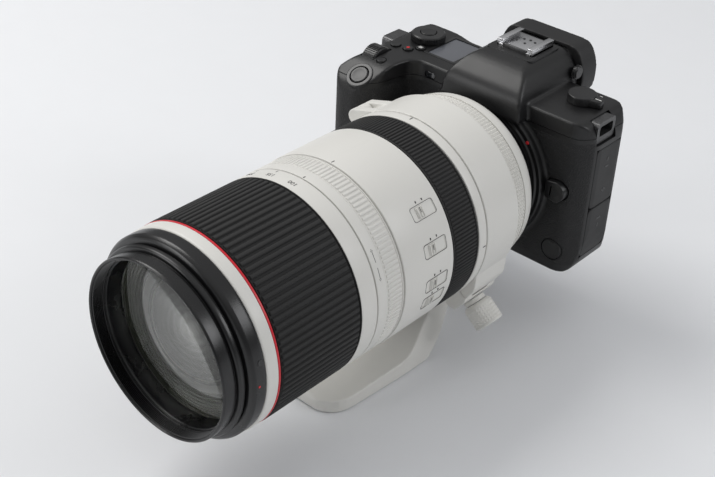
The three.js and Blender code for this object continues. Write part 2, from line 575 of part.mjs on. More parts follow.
// inside: mount ring, frame, shutter, sensor, board
const LUG_DEPTH = 1.8; // of the mount's own lugs
const lugSectors = (inner, outer, y0, y1, degrees) => [0, 120, 240].map(
  (angle) => ring(inner, outer, y0, y1).intersect(sector(angle, degrees, outer + 1, y0 - 1, y1 + 1)));

// A wedge about the Y axis, for cutting rings.
function sector(angle, degrees, radius, y0, y1) {
  const corners = [[0, 0]];
  const steps = Math.max(2, Math.ceil(degrees / 20));
  for (let i = 0; i <= steps; i += 1) {
    const a = THREE.MathUtils.degToRad(angle - degrees / 2 + (degrees * i) / steps);
    corners.push([2 * radius * Math.cos(a), 2 * radius * Math.sin(a)]);
  }
  return prism(corners, 'y', y0, y1);
}

const bodyMountLugs = lugSectors(THROAT_RADIUS, THROAT_RADIUS + BAYONET_LUG + 1, 0, LUG_DEPTH, 56);
let bodyMount = ring(THROAT_RADIUS + BAYONET_LUG + GAP, MOUNT_RADIUS, 0, MOUNT_DEPTH);
for (const lug of bodyMountLugs) bodyMount = bodyMount.add(lug);
part('body_mount', bodyMount.subtract(lockPin(GAP)), FINISH.steel);

const FRAME_Y = FRONT_Y + WALL + GAP;
const FRAME_THICKNESS = 2;
const frameCorners = rectangle(GRIP_INNER_X + 4, PORT_X - 12, BASE_SEAM_Z + 1, SEAM_Z - 2);
part('chassis', prism(frameCorners, 'y', FRAME_Y, FRAME_Y + FRAME_THICKNESS)
  .subtract(ring(0, THROAT_RADIUS + 3, FRAME_Y - 5, FRAME_Y + 5))
  .subtract(lockPin(1))
  .subtract(releaseAt(button(RELEASE_RADIUS + 1, 20, 0).translate([0, -12, 0]))), FINISH.steel);

const opening = (grow) => box(
  -IMAGE_WIDTH / 2 - grow, IMAGE_WIDTH / 2 + grow, 0, REAR_Y,
  -IMAGE_HEIGHT / 2 - grow, IMAGE_HEIGHT / 2 + grow);
const SHUTTER_UNIT_Y = FRAME_Y + FRAME_THICKNESS + GAP;
part('shutter_unit', box(-27, 30, SHUTTER_UNIT_Y, SHUTTER_UNIT_Y + 5, -20, 22)
  .subtract(opening(0.5)), FINISH.gloss);
const SENSOR_Y = IMAGE_DISTANCE;
part('sensor_unit', box(-24, 24, SENSOR_Y, SENSOR_Y + 4, -19, 19), FINISH.cell);
part('main_board', box(GRIP_INNER_X + 8, PORT_X - WALL - 8, SENSOR_Y + 7, SENSOR_Y + 9,
  BASE_SEAM_Z + 2, SEAM_Z - 3), FINISH.board);

// ---------------------------------------------------------------- lens


// stations along the lens, from the mount face forwards (-Y)
const TAIL_Y = -TAIL_LENGTH;
const CONTROL_Y = TAIL_Y - SHOULDER_LENGTH;
const COLLAR_Y = CONTROL_Y - CONTROL_RING_LENGTH;
const REAR_BAND_Y = COLLAR_Y - COLLAR_LENGTH;
const FOCUS_Y = REAR_BAND_Y - REAR_BAND_LENGTH;
const PANEL_Y = FOCUS_Y - FOCUS_RING_LENGTH;
const TENSION_Y = PANEL_Y - PANEL_BAND_LENGTH;
const ZOOM_Y = TENSION_Y - TENSION_RING_LENGTH;
const HEAD_Y = ZOOM_Y - ZOOM_RING_LENGTH;
const RIM_Y = HEAD_Y - HEAD_LENGTH;

const CONTROL_RING_RADIUS = BARREL_RADIUS - CONTROL_RING_STEP;
const TAIL_RADIUS = BARREL_RADIUS - TAIL_STEP;
const RIM_RADIUS = BARREL_RADIUS - RIM_STEP;
const SEAT_RADIUS = BARREL_RADIUS - BARREL_WALL; // of the barrel under its rings
const SEAT_BORE = SEAT_RADIUS - SLEEVE_WALL;
const INNER_RADIUS = SEAT_BORE - RUNNING; // outside of the sliding barrel
const INNER_BORE = INNER_RADIUS - INNER_BARREL_WALL;
const GUIDE_RADIUS = INNER_BORE - RUNNING;
const GUIDE_BORE = GUIDE_RADIUS - GUIDE_WALL;
const GUIDE_FRONT_Y = HEAD_Y + 34;
const CONTROL_SEAT = CONTROL_RING_RADIUS - BARREL_WALL;

// the lens's own mount ring, its tube and three lugs, turned to sit behind the body's lugs
const LENS_MOUNT_THICKNESS = 3;
const TUBE_BORE = 23.5;
const tubeOuter = THROAT_RADIUS - GAP;
let lensMount = ring(TUBE_BORE, MOUNT_RADIUS, -GAP - LENS_MOUNT_THICKNESS, -GAP)
  .add(ring(TUBE_BORE, tubeOuter, -GAP - 1, MOUNT_DEPTH + 0.5));
const lensLugs = lugSectors(
  tubeOuter - 1, THROAT_RADIUS + BAYONET_LUG, LUG_DEPTH + GAP, MOUNT_DEPTH, 52);
for (const lug of lensLugs) lensMount = lensMount.add(lug);
// the slot follows the whole turn of the bayonet, with the pin at one end of it
const LOCK_SLOT_HALF = LOCK_PIN_RADIUS + 0.35;
const BAYONET_TURN = 60;
const lockSlotFloor = -LOCK_PIN_OUT - 2 * GAP;
const lockSlotEnd = ring(0, LOCK_SLOT_HALF, lockSlotFloor, 1, 16).translate([LOCK_PIN_X, 0, 0]);
const lockSlotArc = ring(LOCK_PIN_X - LOCK_SLOT_HALF, LOCK_PIN_X + LOCK_SLOT_HALF, lockSlotFloor, 1)
  .intersect(sector(-BAYONET_TURN / 2, BAYONET_TURN, MOUNT_RADIUS, -MOUNT_RADIUS, MOUNT_RADIUS));
const lockSlot = lockSlotEnd.add(lockSlotArc).add(lockSlotEnd.rotate([0, BAYONET_TURN, 0]));
part('lens_mount', lensMount.subtract(lockSlot), FINISH.steel);

// fixed barrel: tail, seats for the rings, bands between them, sleeve and guide tube
const MOUNT_FACE_Y = -2 * GAP - LENS_MOUNT_THICKNESS;
const bands = [
  [TUBE_BORE + 4, TAIL_RADIUS, TAIL_Y, MOUNT_FACE_Y],
  [GUIDE_BORE, CONTROL_RING_RADIUS - 1, CONTROL_Y, TAIL_Y],
  [GUIDE_BORE, CONTROL_SEAT, COLLAR_Y, CONTROL_Y],
  [GUIDE_BORE, SEAT_RADIUS, COLLAR_Y - 3, COLLAR_Y],
  [SEAT_BORE, SEAT_RADIUS, HEAD_Y + 4, COLLAR_Y],
  [SEAT_BORE, BARREL_RADIUS, FOCUS_Y + GAP, REAR_BAND_Y - GAP],
  [SEAT_BORE, BARREL_RADIUS, TENSION_Y + GAP, PANEL_Y - GAP],
  [GUIDE_BORE, GUIDE_RADIUS, GUIDE_FRONT_Y, COLLAR_Y],
];
const LIP = 0.8;
let barrel = turned([
  [GUIDE_BORE, TAIL_Y - LIP], [TAIL_RADIUS - 6, TAIL_Y], [TAIL_RADIUS, TAIL_Y],
  [CONTROL_RING_RADIUS - 1, TAIL_Y - 2], [CONTROL_RING_RADIUS - 1, TAIL_Y - 3], [GUIDE_BORE, TAIL_Y - 3],
]);
for (const [inner, outer, front, back] of bands) {
  const start = front === CONTROL_Y ? TAIL_Y - 2 : back;
  barrel = barrel.add(ring(inner, outer, front, start));
}

// switches on their panel
const SWITCH_SIZE = { length: 4.6, width: 5, height: 1.2 }; // length is along the lens
const SWITCH_TRAVEL = 4;
const SWITCH_Y = PANEL_Y - PANEL_BAND_LENGTH * 0.35;
const switches = [
  ['focus_limit_switch', 39], ['focus_mode_switch', 18],
  ['stabiliser_switch', -3], ['stabiliser_mode_switch', -15],
];
const SWITCH_FRONT_Y = SWITCH_Y - (SWITCH_SIZE.length + SWITCH_TRAVEL) / 2;
function switchBlock(angle, grow, travel, top) {
  const { length, width } = SWITCH_SIZE;
  return box(SEAT_RADIUS + 1 - grow, top,
    SWITCH_FRONT_Y - grow, SWITCH_FRONT_Y + length + travel + grow,
    -width / 2 - grow, width / 2 + grow)
    .rotate([0, -angle, 0]);
}
for (const [name, angle] of switches) {
  part(name, switchBlock(angle, 0, 0, BARREL_RADIUS + SWITCH_SIZE.height), FINISH.white);
  barrel = barrel.subtract(switchBlock(angle, GAP, SWITCH_TRAVEL, BARREL_RADIUS + 5));
}
part('fixed_barrel', barrel, FINISH.white);

// rings that turn on the barrel
const turningRing = (outer, front, back, bore = SEAT_RADIUS) => ring(
  bore + RUNNING, outer, front + GAP, back - GAP);
part('control_ring', turningRing(CONTROL_RING_RADIUS, COLLAR_Y, CONTROL_Y, CONTROL_SEAT), FINISH.white);
part('focus_ring', turningRing(BARREL_RADIUS, PANEL_Y, FOCUS_Y), FINISH.rubber);
part('tension_ring', turningRing(BARREL_RADIUS - 0.4, ZOOM_Y, TENSION_Y), FINISH.white);
part('zoom_ring', turningRing(BARREL_RADIUS - 0.5, HEAD_Y, ZOOM_Y), FINISH.rubber);

// sliding barrel with the head that stands ahead of the zoom ring
const HEAD_BORE = RIM_RADIUS - HEAD_WALL;
const INNER_BACK_Y = HEAD_Y + INNER_BARREL_OVERLAP;
const headRadius = BARREL_RADIUS - 0.9;
const headProfile = [
  [INNER_BORE, INNER_BACK_Y], [INNER_RADIUS, INNER_BACK_Y], [INNER_RADIUS, HEAD_Y - GAP],
  [headRadius, HEAD_Y - GAP], [headRadius, HEAD_Y - 14.5], [RIM_RADIUS + 1.6, HEAD_Y - 17.5],
  [RIM_RADIUS, HEAD_Y - 18.5], [RIM_RADIUS, RIM_Y], [RIM_RADIUS - 1.5, RIM_Y],
  [HEAD_BORE, RIM_Y + 7], [HEAD_BORE, HEAD_Y - 3], [INNER_BORE, HEAD_Y - 3],
];
part('zoom_barrel', turned(headProfile), FINISH.lensBlack);

// glass and what carries it
part('front_element', turned([
  [0, RIM_Y + 8.5], [14, RIM_Y + 9.2], [26, RIM_Y + 11.5], [HEAD_BORE - GAP, RIM_Y + 15.5],
  [HEAD_BORE - GAP, RIM_Y + 19.5], [0, RIM_Y + 19.5],
], 40), FINISH.glass);
const CARRIER_RADIUS = GUIDE_BORE - RUNNING;
part('focus_group', ring(0, CARRIER_RADIUS, GUIDE_FRONT_Y + 16, GUIDE_FRONT_Y + 26, 40), FINISH.glass);
part('aperture_unit', ring(12, CARRIER_RADIUS, FOCUS_Y - 26, FOCUS_Y - 14, 40), FINISH.lensBlack);

// ---------------------------------------------------------------- tripod collar

const COLLAR_BORE = SEAT_RADIUS + RUNNING;
const COLLAR_RADIUS = COLLAR_BORE + COLLAR_WALL;
const COLLAR_FRONT_Y = REAR_BAND_Y + GAP;
const COLLAR_BACK_Y = COLLAR_Y - GAP;
const COLLAR_MIDDLE_Y = (COLLAR_FRONT_Y + COLLAR_BACK_Y) / 2;
const collarBand = ring(COLLAR_BORE, COLLAR_RADIUS, COLLAR_FRONT_Y, COLLAR_BACK_Y);

// A frame turned about the lens axis: d runs outwards at the angle, t runs across it, upwards
// through the angles.
const turnedFrame = (angle) => ([d, t]) => {
  const a = THREE.MathUtils.degToRad(angle);
  return [d * Math.cos(a) - t * Math.sin(a), d * Math.sin(a) + t * Math.cos(a)];
};
const clampFrame = turnedFrame(CLAMP_ANGLE); // d is along the screw
const hingeFrame = turnedFrame(HINGE_ANGLE); // d passes through the pin
const clampPrism = (corners, from, to) => prism(corners.map(clampFrame), 'y', from, to);
const alongScrew = (shape) => shape.rotate([0, 0, -90]).rotate([0, -CLAMP_ANGLE, 0]);
const SCREW_OFFSET = -10; // t of the screw's axis
const SLOT_T = -2.7; // t where the halves meet
const CLAMP_FACE = COLLAR_RADIUS + 6.2; // d of the face under the knob
const screwAt = (shape, d) => {
  const [x, z] = clampFrame([d, SCREW_OFFSET]);
  return alongScrew(shape).translate([x, COLLAR_MIDDLE_Y, z]);
};
// tongue of the top half, lying in a pocket of the bottom half's boss, notched for the screw
const TONGUE = { inner: COLLAR_RADIUS + 1.6, thickness: 2, halfWidth: 5.5, reach: 10.5 };
const TONGUE_CLEARANCE = 0.5;
const tongueCorners = [
  [TONGUE.inner, SLOT_T - TONGUE.reach], [TONGUE.inner + TONGUE.thickness, SLOT_T - TONGUE.reach],
  [TONGUE.inner + TONGUE.thickness, SLOT_T + 4], [TONGUE.inner, SLOT_T + 4],
];
const notch = clampPrism([
  [0, SLOT_T - TONGUE.reach - 5], [90, SLOT_T - TONGUE.reach - 5], [90, SCREW_OFFSET + SCREW_RADIUS + 0.8],
  [0, SCREW_OFFSET + SCREW_RADIUS + 0.8],
], COLLAR_MIDDLE_Y - SCREW_RADIUS - 0.5, COLLAR_MIDDLE_Y + SCREW_RADIUS + 0.5);
const tongue = clampPrism(
  tongueCorners, COLLAR_MIDDLE_Y - TONGUE.halfWidth, COLLAR_MIDDLE_Y + TONGUE.halfWidth).subtract(notch);
const pocketIn = TONGUE.inner - TONGUE_CLEARANCE;
const pocketOut = TONGUE.inner + TONGUE.thickness + TONGUE_CLEARANCE;
const pocketEnd = SLOT_T - TONGUE.reach - TONGUE_CLEARANCE;
const pocketHalfWidth = TONGUE.halfWidth + TONGUE_CLEARANCE;
const pocket = clampPrism(
  [[pocketIn, pocketEnd], [pocketOut, pocketEnd], [pocketOut + 1.4, SLOT_T + 3], [pocketIn, SLOT_T + 3]],
  COLLAR_MIDDLE_Y - pocketHalfWidth, COLLAR_MIDDLE_Y + pocketHalfWidth);

const lowerBoss = clampPrism([
  [COLLAR_BORE - 6, -15.5], [CLAMP_FACE - 3, -15.5], [CLAMP_FACE, -13.5], [CLAMP_FACE, -5],
  [TONGUE.inner + TONGUE.thickness + 1.4, SLOT_T], [COLLAR_BORE - 6, SLOT_T],
], COLLAR_FRONT_Y, COLLAR_BACK_Y);
const upperBoss = clampPrism([
  [COLLAR_BORE - 6, SLOT_T + GAP], [TONGUE.inner + TONGUE.thickness + 1.2, SLOT_T + GAP],
  [TONGUE.inner + TONGUE.thickness, 6], [COLLAR_RADIUS - 1.4, 12.5], [COLLAR_BORE - 6, 12.5],
], COLLAR_FRONT_Y, COLLAR_BACK_Y);

// hinge of the two halves
const HINGE_DISTANCE = COLLAR_RADIUS + 1.7;
const [hingeX, hingeZ] = hingeFrame([HINGE_DISTANCE, 0]);
const KNUCKLE_FRONT_Y = COLLAR_FRONT_Y;
const onHinge = (inner, outer, y0, y1, sides = KNOB_SIDES) => ring(inner, outer, y0, y1, sides)
  .translate([hingeX, 0, hingeZ]);
const PIN_CLEARANCE = 0.3;
const pinHole = onHinge(0, HINGE_PIN_RADIUS + PIN_CLEARANCE, COLLAR_FRONT_Y - 5, COLLAR_BACK_Y + 5);
part('collar_hinge_pin', onHinge(0, HINGE_PIN_RADIUS, KNUCKLE_FRONT_Y + 0.8,
  KNUCKLE_FRONT_Y + KNUCKLE_LENGTH), FINISH.steel);

// A knuckle with the leaf that joins it to its half; side is 1 for the lower half.
function knuckle(side, from, to) {
  const leaf = [
    [HINGE_DISTANCE - 2.5, 0], [HINGE_DISTANCE + KNUCKLE_RADIUS - 0.5, side * 1.8],
    [COLLAR_RADIUS - 1, side * 12], [COLLAR_BORE + 0.8, side * 11],
    [COLLAR_BORE + 0.8, side * 4.5],
  ].map(hingeFrame);
  return onHinge(0, KNUCKLE_RADIUS, from, to)
    .add(prism(side > 0 ? leaf.reverse() : leaf, 'y', from, to));
}
const third = KNUCKLE_LENGTH / 3;
const KNUCKLE_1 = KNUCKLE_FRONT_Y + third;
const KNUCKLE_2 = KNUCKLE_1 + third;
const KNUCKLE_END_Y = KNUCKLE_2 + third;
const knuckleRoom = (from, to) => onHinge(0, KNUCKLE_RADIUS + RUNNING, from, to);
const lowerKnuckle = knuckle(1, KNUCKLE_1, KNUCKLE_2);
const lowerKnuckleRoom = knuckleRoom(KNUCKLE_1 - GAP, KNUCKLE_2 + GAP);
const upperKnuckles = knuckle(-1, KNUCKLE_FRONT_Y, KNUCKLE_1 - GAP)
  .add(knuckle(-1, KNUCKLE_2 + GAP, KNUCKLE_END_Y));
const upperKnuckleRoom = knuckleRoom(KNUCKLE_FRONT_Y - 1, KNUCKLE_1)
  .add(knuckleRoom(KNUCKLE_2, KNUCKLE_END_Y + GAP));

// The upper half's share: from the clamp slot over the top to a seam that leans under the hinge,
// so that its end swings clear of the barrel.
const bore = ring(0, COLLAR_BORE, COLLAR_FRONT_Y - 5, COLLAR_BACK_Y + 5);
const FAR = 1.7 * COLLAR_RADIUS;
const SEAM_LEAN = 0.86;
const seamPoint = (d) => hingeFrame([d, 3 + SEAM_LEAN * (d - COLLAR_RADIUS)]);
const upperShare = [
  clampFrame([COLLAR_RADIUS * 0.7, SLOT_T]), clampFrame([FAR, SLOT_T]), [FAR, FAR * 0.3], [FAR, FAR],
  [-FAR * 0.4, FAR], seamPoint(COLLAR_RADIUS + 12), seamPoint(COLLAR_RADIUS - 17),
];
const halfZone = (grow) => prism(
  inset(upperShare, -grow), 'y', COLLAR_FRONT_Y - 1, COLLAR_BACK_Y + 1);

const collarTop = collarBand.intersect(halfZone(0))
  .add(upperBoss)
  .add(tongue)
  .subtract(lowerKnuckleRoom)
  .add(upperKnuckles)
  .subtract(pinHole)
  .subtract(bore);
part('collar_top', collarTop, FINISH.white);

// foot: plate, leaning stem and rounded nose, as the common part of three outlines
const FOOT_Z = -AXIS_HEIGHT;
const footBackY = -FOOT_BACK;
const footFrontY = footBackY - FOOT_LENGTH;
const plateTopZ = FOOT_Z + FOOT_THICKNESS;
const stemBackY = COLLAR_BACK_Y - 2.5;
const footSide = [
  [stemBackY, -COLLAR_BORE + 8], [stemBackY - STEM_THICKNESS, -COLLAR_BORE + 8],
  [stemBackY - STEM_THICKNESS, -COLLAR_RADIUS, 2],
  [footBackY - STEM_THICKNESS, plateTopZ, 5], [footFrontY, plateTopZ - 2, 3], [footFrontY, FOOT_Z, 1],
  [footBackY, FOOT_Z, 1], [stemBackY, -COLLAR_RADIUS - 1, 2],
];
const footFront = [
  [-FOOT_HALF_WIDTH, FOOT_Z, 1], [FOOT_HALF_WIDTH, FOOT_Z, 1], [FOOT_HALF_WIDTH, plateTopZ + 2, 4],
  [STEM_HALF_WIDTH, -COLLAR_RADIUS, 2], [STEM_HALF_WIDTH, -COLLAR_RADIUS + 12],
  [-STEM_HALF_WIDTH, -COLLAR_RADIUS + 12], [-STEM_HALF_WIDTH, -COLLAR_RADIUS, 2],
  [-FOOT_HALF_WIDTH, plateTopZ + 2, 4],
];
const footPlan = [
  [-FOOT_HALF_WIDTH + 3.5, footFrontY, 14], [FOOT_HALF_WIDTH - 3.5, footFrontY, 14],
  [FOOT_HALF_WIDTH, footBackY - 10, 4], [FOOT_HALF_WIDTH, 0], [-FOOT_HALF_WIDTH, 0],
  [-FOOT_HALF_WIDTH, footBackY - 10, 4],
];
const reach = AXIS_HEIGHT + FOOT_HALF_WIDTH;
const FOOT_SOCKET_Y = footFrontY + 24;
const foot = prism(footSide, 'x', -reach, reach)
  .intersect(prism(footFront, 'y', -2 * FOOT_TO_MOUNT_FACE, 0))
  .intersect(prism(footPlan, 'z', -reach, 0, 5))
  .subtract(upright(ring(0, SOCKET_RADIUS, -4, 6, 20)).translate([0, FOOT_SOCKET_Y, FOOT_Z]))
  .subtract(upright(ring(0, SOCKET_RADIUS / 1.6, -4, 4, 16)).translate([0, FOOT_SOCKET_Y - 12, FOOT_Z]));

const screwHole = screwAt(ring(0, SCREW_RADIUS + 0.4, -12, 12, 16), CLAMP_FACE);
const collarBase = collarBand.subtract(halfZone(GAP))
  .add(lowerBoss)
  .add(foot)
  .subtract(upperKnuckleRoom)
  .add(lowerKnuckle)
  .subtract(pinHole)
  .subtract(bore)
  .subtract(pocket)
  .subtract(screwHole);
part('collar_base', collarBase, FINISH.white);

// clamp screw: shank with a shoulder, turned by the knob on its head
const SHOULDER_HEIGHT = 2.6;
const SHANK_REACH = CLAMP_FACE - COLLAR_RADIUS - 0.4;
const SCREW_HEAD = 5;
const screwShape = turned([
  [0, -SHANK_REACH], [SCREW_RADIUS, -SHANK_REACH], [SCREW_RADIUS, GAP], [5, GAP],
  [5, SHOULDER_HEIGHT], [SCREW_RADIUS, SHOULDER_HEIGHT], [SCREW_RADIUS, SHOULDER_HEIGHT + SCREW_HEAD],
  [0, SHOULDER_HEIGHT + SCREW_HEAD],
], KNOB_SIDES);
part('collar_screw', screwAt(screwShape, CLAMP_FACE), FINISH.steel);
const knobBottom = SHOULDER_HEIGHT + GAP;
const knobBore = SCREW_RADIUS + RUNNING;
part('collar_knob', screwAt(turned([
  [knobBore, knobBottom], [KNOB_RADIUS - 1, knobBottom], [KNOB_RADIUS, knobBottom + 1.5],
  [KNOB_RADIUS, knobBottom + KNOB_HEIGHT - 0.8], [KNOB_RADIUS - 0.8, knobBottom + KNOB_HEIGHT],
  [0, knobBottom + KNOB_HEIGHT], [0, SHOULDER_HEIGHT + SCREW_HEAD + GAP],
  [knobBore, SHOULDER_HEIGHT + SCREW_HEAD + GAP],
], KNOB_SIDES), CLAMP_FACE), FINISH.white);

export default model;
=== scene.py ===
"""Full-frame camera with a white telephoto zoom, standing on the foot of the lens's collar.

Every piece is drawn in millimetres from the centre of the mount face, with the lens axis along Y
and the front of the lens towards -Y, and is put in its place in metres when it is finished.
"""

import math

import bmesh
import bpy
from bpy.props import FloatProperty, FloatVectorProperty, IntProperty, PointerProperty
from mathutils import Matrix, Vector


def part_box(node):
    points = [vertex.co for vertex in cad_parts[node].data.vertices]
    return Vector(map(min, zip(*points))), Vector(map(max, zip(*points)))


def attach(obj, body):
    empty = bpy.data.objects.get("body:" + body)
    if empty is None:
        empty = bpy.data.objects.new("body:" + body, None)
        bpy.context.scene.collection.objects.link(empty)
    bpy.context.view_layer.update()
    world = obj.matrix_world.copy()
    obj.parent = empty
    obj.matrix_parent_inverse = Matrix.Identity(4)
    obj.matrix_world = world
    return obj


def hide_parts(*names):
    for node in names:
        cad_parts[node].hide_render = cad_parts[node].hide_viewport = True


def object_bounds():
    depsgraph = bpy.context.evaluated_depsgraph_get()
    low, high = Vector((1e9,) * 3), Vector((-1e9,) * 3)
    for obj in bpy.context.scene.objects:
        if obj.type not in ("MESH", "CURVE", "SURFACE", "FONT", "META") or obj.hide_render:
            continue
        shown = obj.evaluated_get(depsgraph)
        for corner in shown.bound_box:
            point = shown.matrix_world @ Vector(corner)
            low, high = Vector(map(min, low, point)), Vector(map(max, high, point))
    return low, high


bl_info = {
    "name": "Telephoto camera",
    "version": (1, 0, 0),
    "blender": (4, 5, 0),
    "location": "3D View > Sidebar > Camera",
    "description": "Builds a camera with a telephoto zoom lens and a studio stage around a packed frame",
    "category": "Add Mesh",
}

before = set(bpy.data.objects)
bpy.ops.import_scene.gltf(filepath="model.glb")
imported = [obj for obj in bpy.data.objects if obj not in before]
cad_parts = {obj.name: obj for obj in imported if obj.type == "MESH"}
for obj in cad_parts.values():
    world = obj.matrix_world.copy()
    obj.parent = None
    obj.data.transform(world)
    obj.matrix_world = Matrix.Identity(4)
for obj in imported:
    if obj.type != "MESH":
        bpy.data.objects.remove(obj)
CAD_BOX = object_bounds()
MM = 0.001

# ------------------------------------------------------------------ places, from the frame

_ring_low, _ring_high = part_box("zoom_ring")
ORIGIN = Vector((
    (_ring_low.x + _ring_high.x) / 2,
    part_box("body_mount")[0].y,
    (_ring_low.z + _ring_high.z) / 2,
))
TO_METRES = Matrix.Translation(ORIGIN) @ Matrix.Scale(MM, 4)


def span(node):
    """Lowest and highest corner of a node in millimetres from the mount face."""
    return tuple((corner - ORIGIN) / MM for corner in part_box(node))


def ring_of(node):
    """Front, back and outer radius of a node that is turned about the lens axis."""
    low, high = span(node)
    return low.y, high.y, high.x


ZOOM_FRONT, ZOOM_BACK, ZOOM_R = ring_of("zoom_ring")
TENSION_FRONT, TENSION_BACK, TENSION_R = ring_of("tension_ring")
FOCUS_FRONT, FOCUS_BACK, BARREL_R = ring_of("focus_ring")
CONTROL_FRONT, CONTROL_BACK, CONTROL_R = ring_of("control_ring")
RIM_Y, _, HEAD_R = ring_of("zoom_barrel")
COLLAR_FRONT, COLLAR_BACK = span("collar_top")[0].y, span("collar_top")[1].y
FOOT_Z = span("collar_base")[0].z
GRIP_X, GRIP_Y, BASE_Z = span("grip_cover")[0].x, span("grip_cover")[0].y, span("base_plate")[0].z
PORT_X = span("front_cover")[1].x
BODY_DEPTH = 36.0  # from the front wall to the rear wall
TOP_Z = span("mode_dial")[0].z - 0.3
FINDER_Z = span("hot_shoe")[0].z - 0.3
REAR_Y = span("screen_panel")[0].y + 0.5
FRONT_Y = REAR_Y - BODY_DEPTH
GRIP_INNER_X = GRIP_X + 33.0
SEAM_Z = TOP_Z - 8.0
SMOOTH = 160  # sides of a large turned surface
SMALL = 48  # sides of a button or a knob
MOUNT_INDEX_ANGLE = 41.0  # of the red dots by which the lens is lined up with the body
ZOOM_INDEX_ANGLE = 88.0  # where the zoom scale is read, round the lens from +X towards +Z
ZOOM_FIGURE_STEP = 16.0  # degrees from one figure of the zoom scale to the next


# ------------------------------------------------------------------ settings

def size(name, text, default):
    return FloatProperty(name=name, description=text, default=default, min=0.0)


def colour(name, text, default):
    return FloatVectorProperty(name=name, description=text, default=default, subtype="COLOR", min=0, max=1)


class LensSettings(bpy.types.PropertyGroup):
    zoom_ribs: IntProperty(name="Zoom ring ribs", description="Ribs round the zoom ring", default=92)
    focus_ribs: IntProperty(name="Focus ring ribs", description="Ribs round the focus ring", default=156)
    tension_ribs: IntProperty(name="Tension ring ribs", description="Ribs round the ring", default=132)
    rib_height: size("Rib height", "Height of the zoom ring's ribs in millimetres", 0.95)
    white: colour("Lens white", "Paint of the barrel, the collar and the foot", (0.71, 0.70, 0.665))
    red: colour("Ring red", "Thin ring behind the front of the lens", (0.60, 0.008, 0.022))
    black: colour("Anodised black", "Front barrel and tail", (0.0045, 0.0045, 0.005))
    rubber: colour("Ring rubber", "Rubber sleeves of the rings", (0.008, 0.008, 0.0085))


class BodySettings(bpy.types.PropertyGroup):
    voxel: size("Form fineness", "Mesh step of the moulded body in millimetres", 0.85)
    shell: colour("Body black", "Painted covers of the body", (0.0075, 0.0075, 0.008))
    leather: colour("Grip rubber", "Textured covering of the grip", (0.007, 0.007, 0.0075))
    pebble: size("Pebble size", "Grain of the textured covering in millimetres", 0.75)


class StageSettings(bpy.types.PropertyGroup):
    azimuth: size("Azimuth", "Camera's turn from the front of the lens, in degrees", 40.52)
    elevation: size("Elevation", "Camera's height above the horizon, in degrees", 33.44)
    roll: size("Roll", "Camera's roll, in degrees", 2.7)
    distance: size("Distance", "Camera to the point it looks at, in metres", 0.6416)
    focal_length: size("Focal length", "Of the stage camera, in millimetres", 65.07)
    floor: colour("Floor", "Pale studio floor", (0.80, 0.81, 0.83))


def settings():
    return bpy.context.scene.telephoto_camera


# ------------------------------------------------------------------ mesh tools

def fillet(corners, steps=5, closed=True):
    """Points of an outline whose corners (x, y, radius) are rounded over that length."""
    points = []
    count = len(corners)
    for i, corner in enumerate(corners):
        here = Vector(corner[:2])
        radius = corner[2] if len(corner) > 2 else 0.0
        if radius <= 0 or (not closed and i in (0, count - 1)):
            points.append(here)
            continue
        before = Vector(corners[i - 1][:2]) - here
        after = Vector(corners[(i + 1) % count][:2]) - here
        start = here + before.normalized() * radius
        end = here + after.normalized() * radius
        for k in range(steps + 1):
            t = k / steps
            points.append(start * (1 - t) ** 2 + here * 2 * t * (1 - t) + end * t * t)
    return points


def turned(profile, sides=SMOOTH, steps=3):
    """Turns a closed outline of (radius, y, rounding) corners about the lens axis."""
    bm = bmesh.new()
    points = fillet(profile, steps)
    verts = [bm.verts.new((p.x, p.y, 0)) for p in points]
    edges = [bm.edges.new((verts[i - 1], verts[i])) for i in range(len(verts))]
    bmesh.ops.spin(bm, geom=verts + edges, cent=(0, 0, 0), axis=(0, 1, 0),
                   angle=2 * math.pi, steps=sides, use_merge=True)
    return tidy(bm)


def tidy(bm, distance=1e-4):
    bmesh.ops.remove_doubles(bm, verts=bm.verts, dist=distance)
    loose = [e for e in bm.edges if not e.link_faces]
    bmesh.ops.delete(bm, geom=loose, context="EDGES")
    bmesh.ops.recalc_face_normals(bm, faces=bm.faces)
    return bm


def rod(radius, start, end, edge=0.0, sides=SMALL):
    """A round bar along Y, about the lens axis, with its ends rounded."""
    return turned([(0.01, start), (radius, start, edge), (radius, end, edge), (0.01, end)], sides)


# (u, v, extrusion) axes of a slab, as rows of a rotation
SLAB_AXES = {
    "x": Matrix(((0, 0, 1, 0), (1, 0, 0, 0), (0, 1, 0, 0), (0, 0, 0, 1))),
    "y": Matrix(((1, 0, 0, 0), (0, 0, 1, 0), (0, 1, 0, 0), (0, 0, 0, 1))),
    "z": Matrix.Identity(4),
}


def slab(corners, axis, low, high, steps=6):
    """Extrudes a rounded outline: (y, z) along x, (x, z) along y or (x, y) along z."""
    bm = bmesh.new()
    verts = [bm.verts.new((p.x, p.y, low)) for p in fillet(corners, steps)]
    face = bm.faces.new(verts)
    top = bmesh.ops.extrude_face_region(bm, geom=[face])["geom"]
    moved = [v for v in top if isinstance(v, bmesh.types.BMVert)]
    bmesh.ops.translate(bm, verts=moved, vec=(0, 0, high - low))
    bmesh.ops.transform(bm, matrix=SLAB_AXES[axis], verts=bm.verts)
    return tidy(bm)


def oblong(u0, v0, u1, v1, corner=0.0):
    """Outline of a rectangle between two corners, with its corners rounded."""
    return [(u0, v0, corner), (u1, v0, corner), (u1, v1, corner), (u0, v1, corner)]


def block(low, high, edge=0.0, segments=3):
    """A box between two corners, with its edges rounded."""
    bm = bmesh.new()
    low, high = Vector(low), Vector(high)
    bmesh.ops.create_cube(bm, size=1.0)
    bmesh.ops.scale(bm, vec=high - low, verts=bm.verts)
    bmesh.ops.translate(bm, vec=(low + high) / 2, verts=bm.verts)
    if edge:
        round_edges(bm, edge, segments)
    return bm


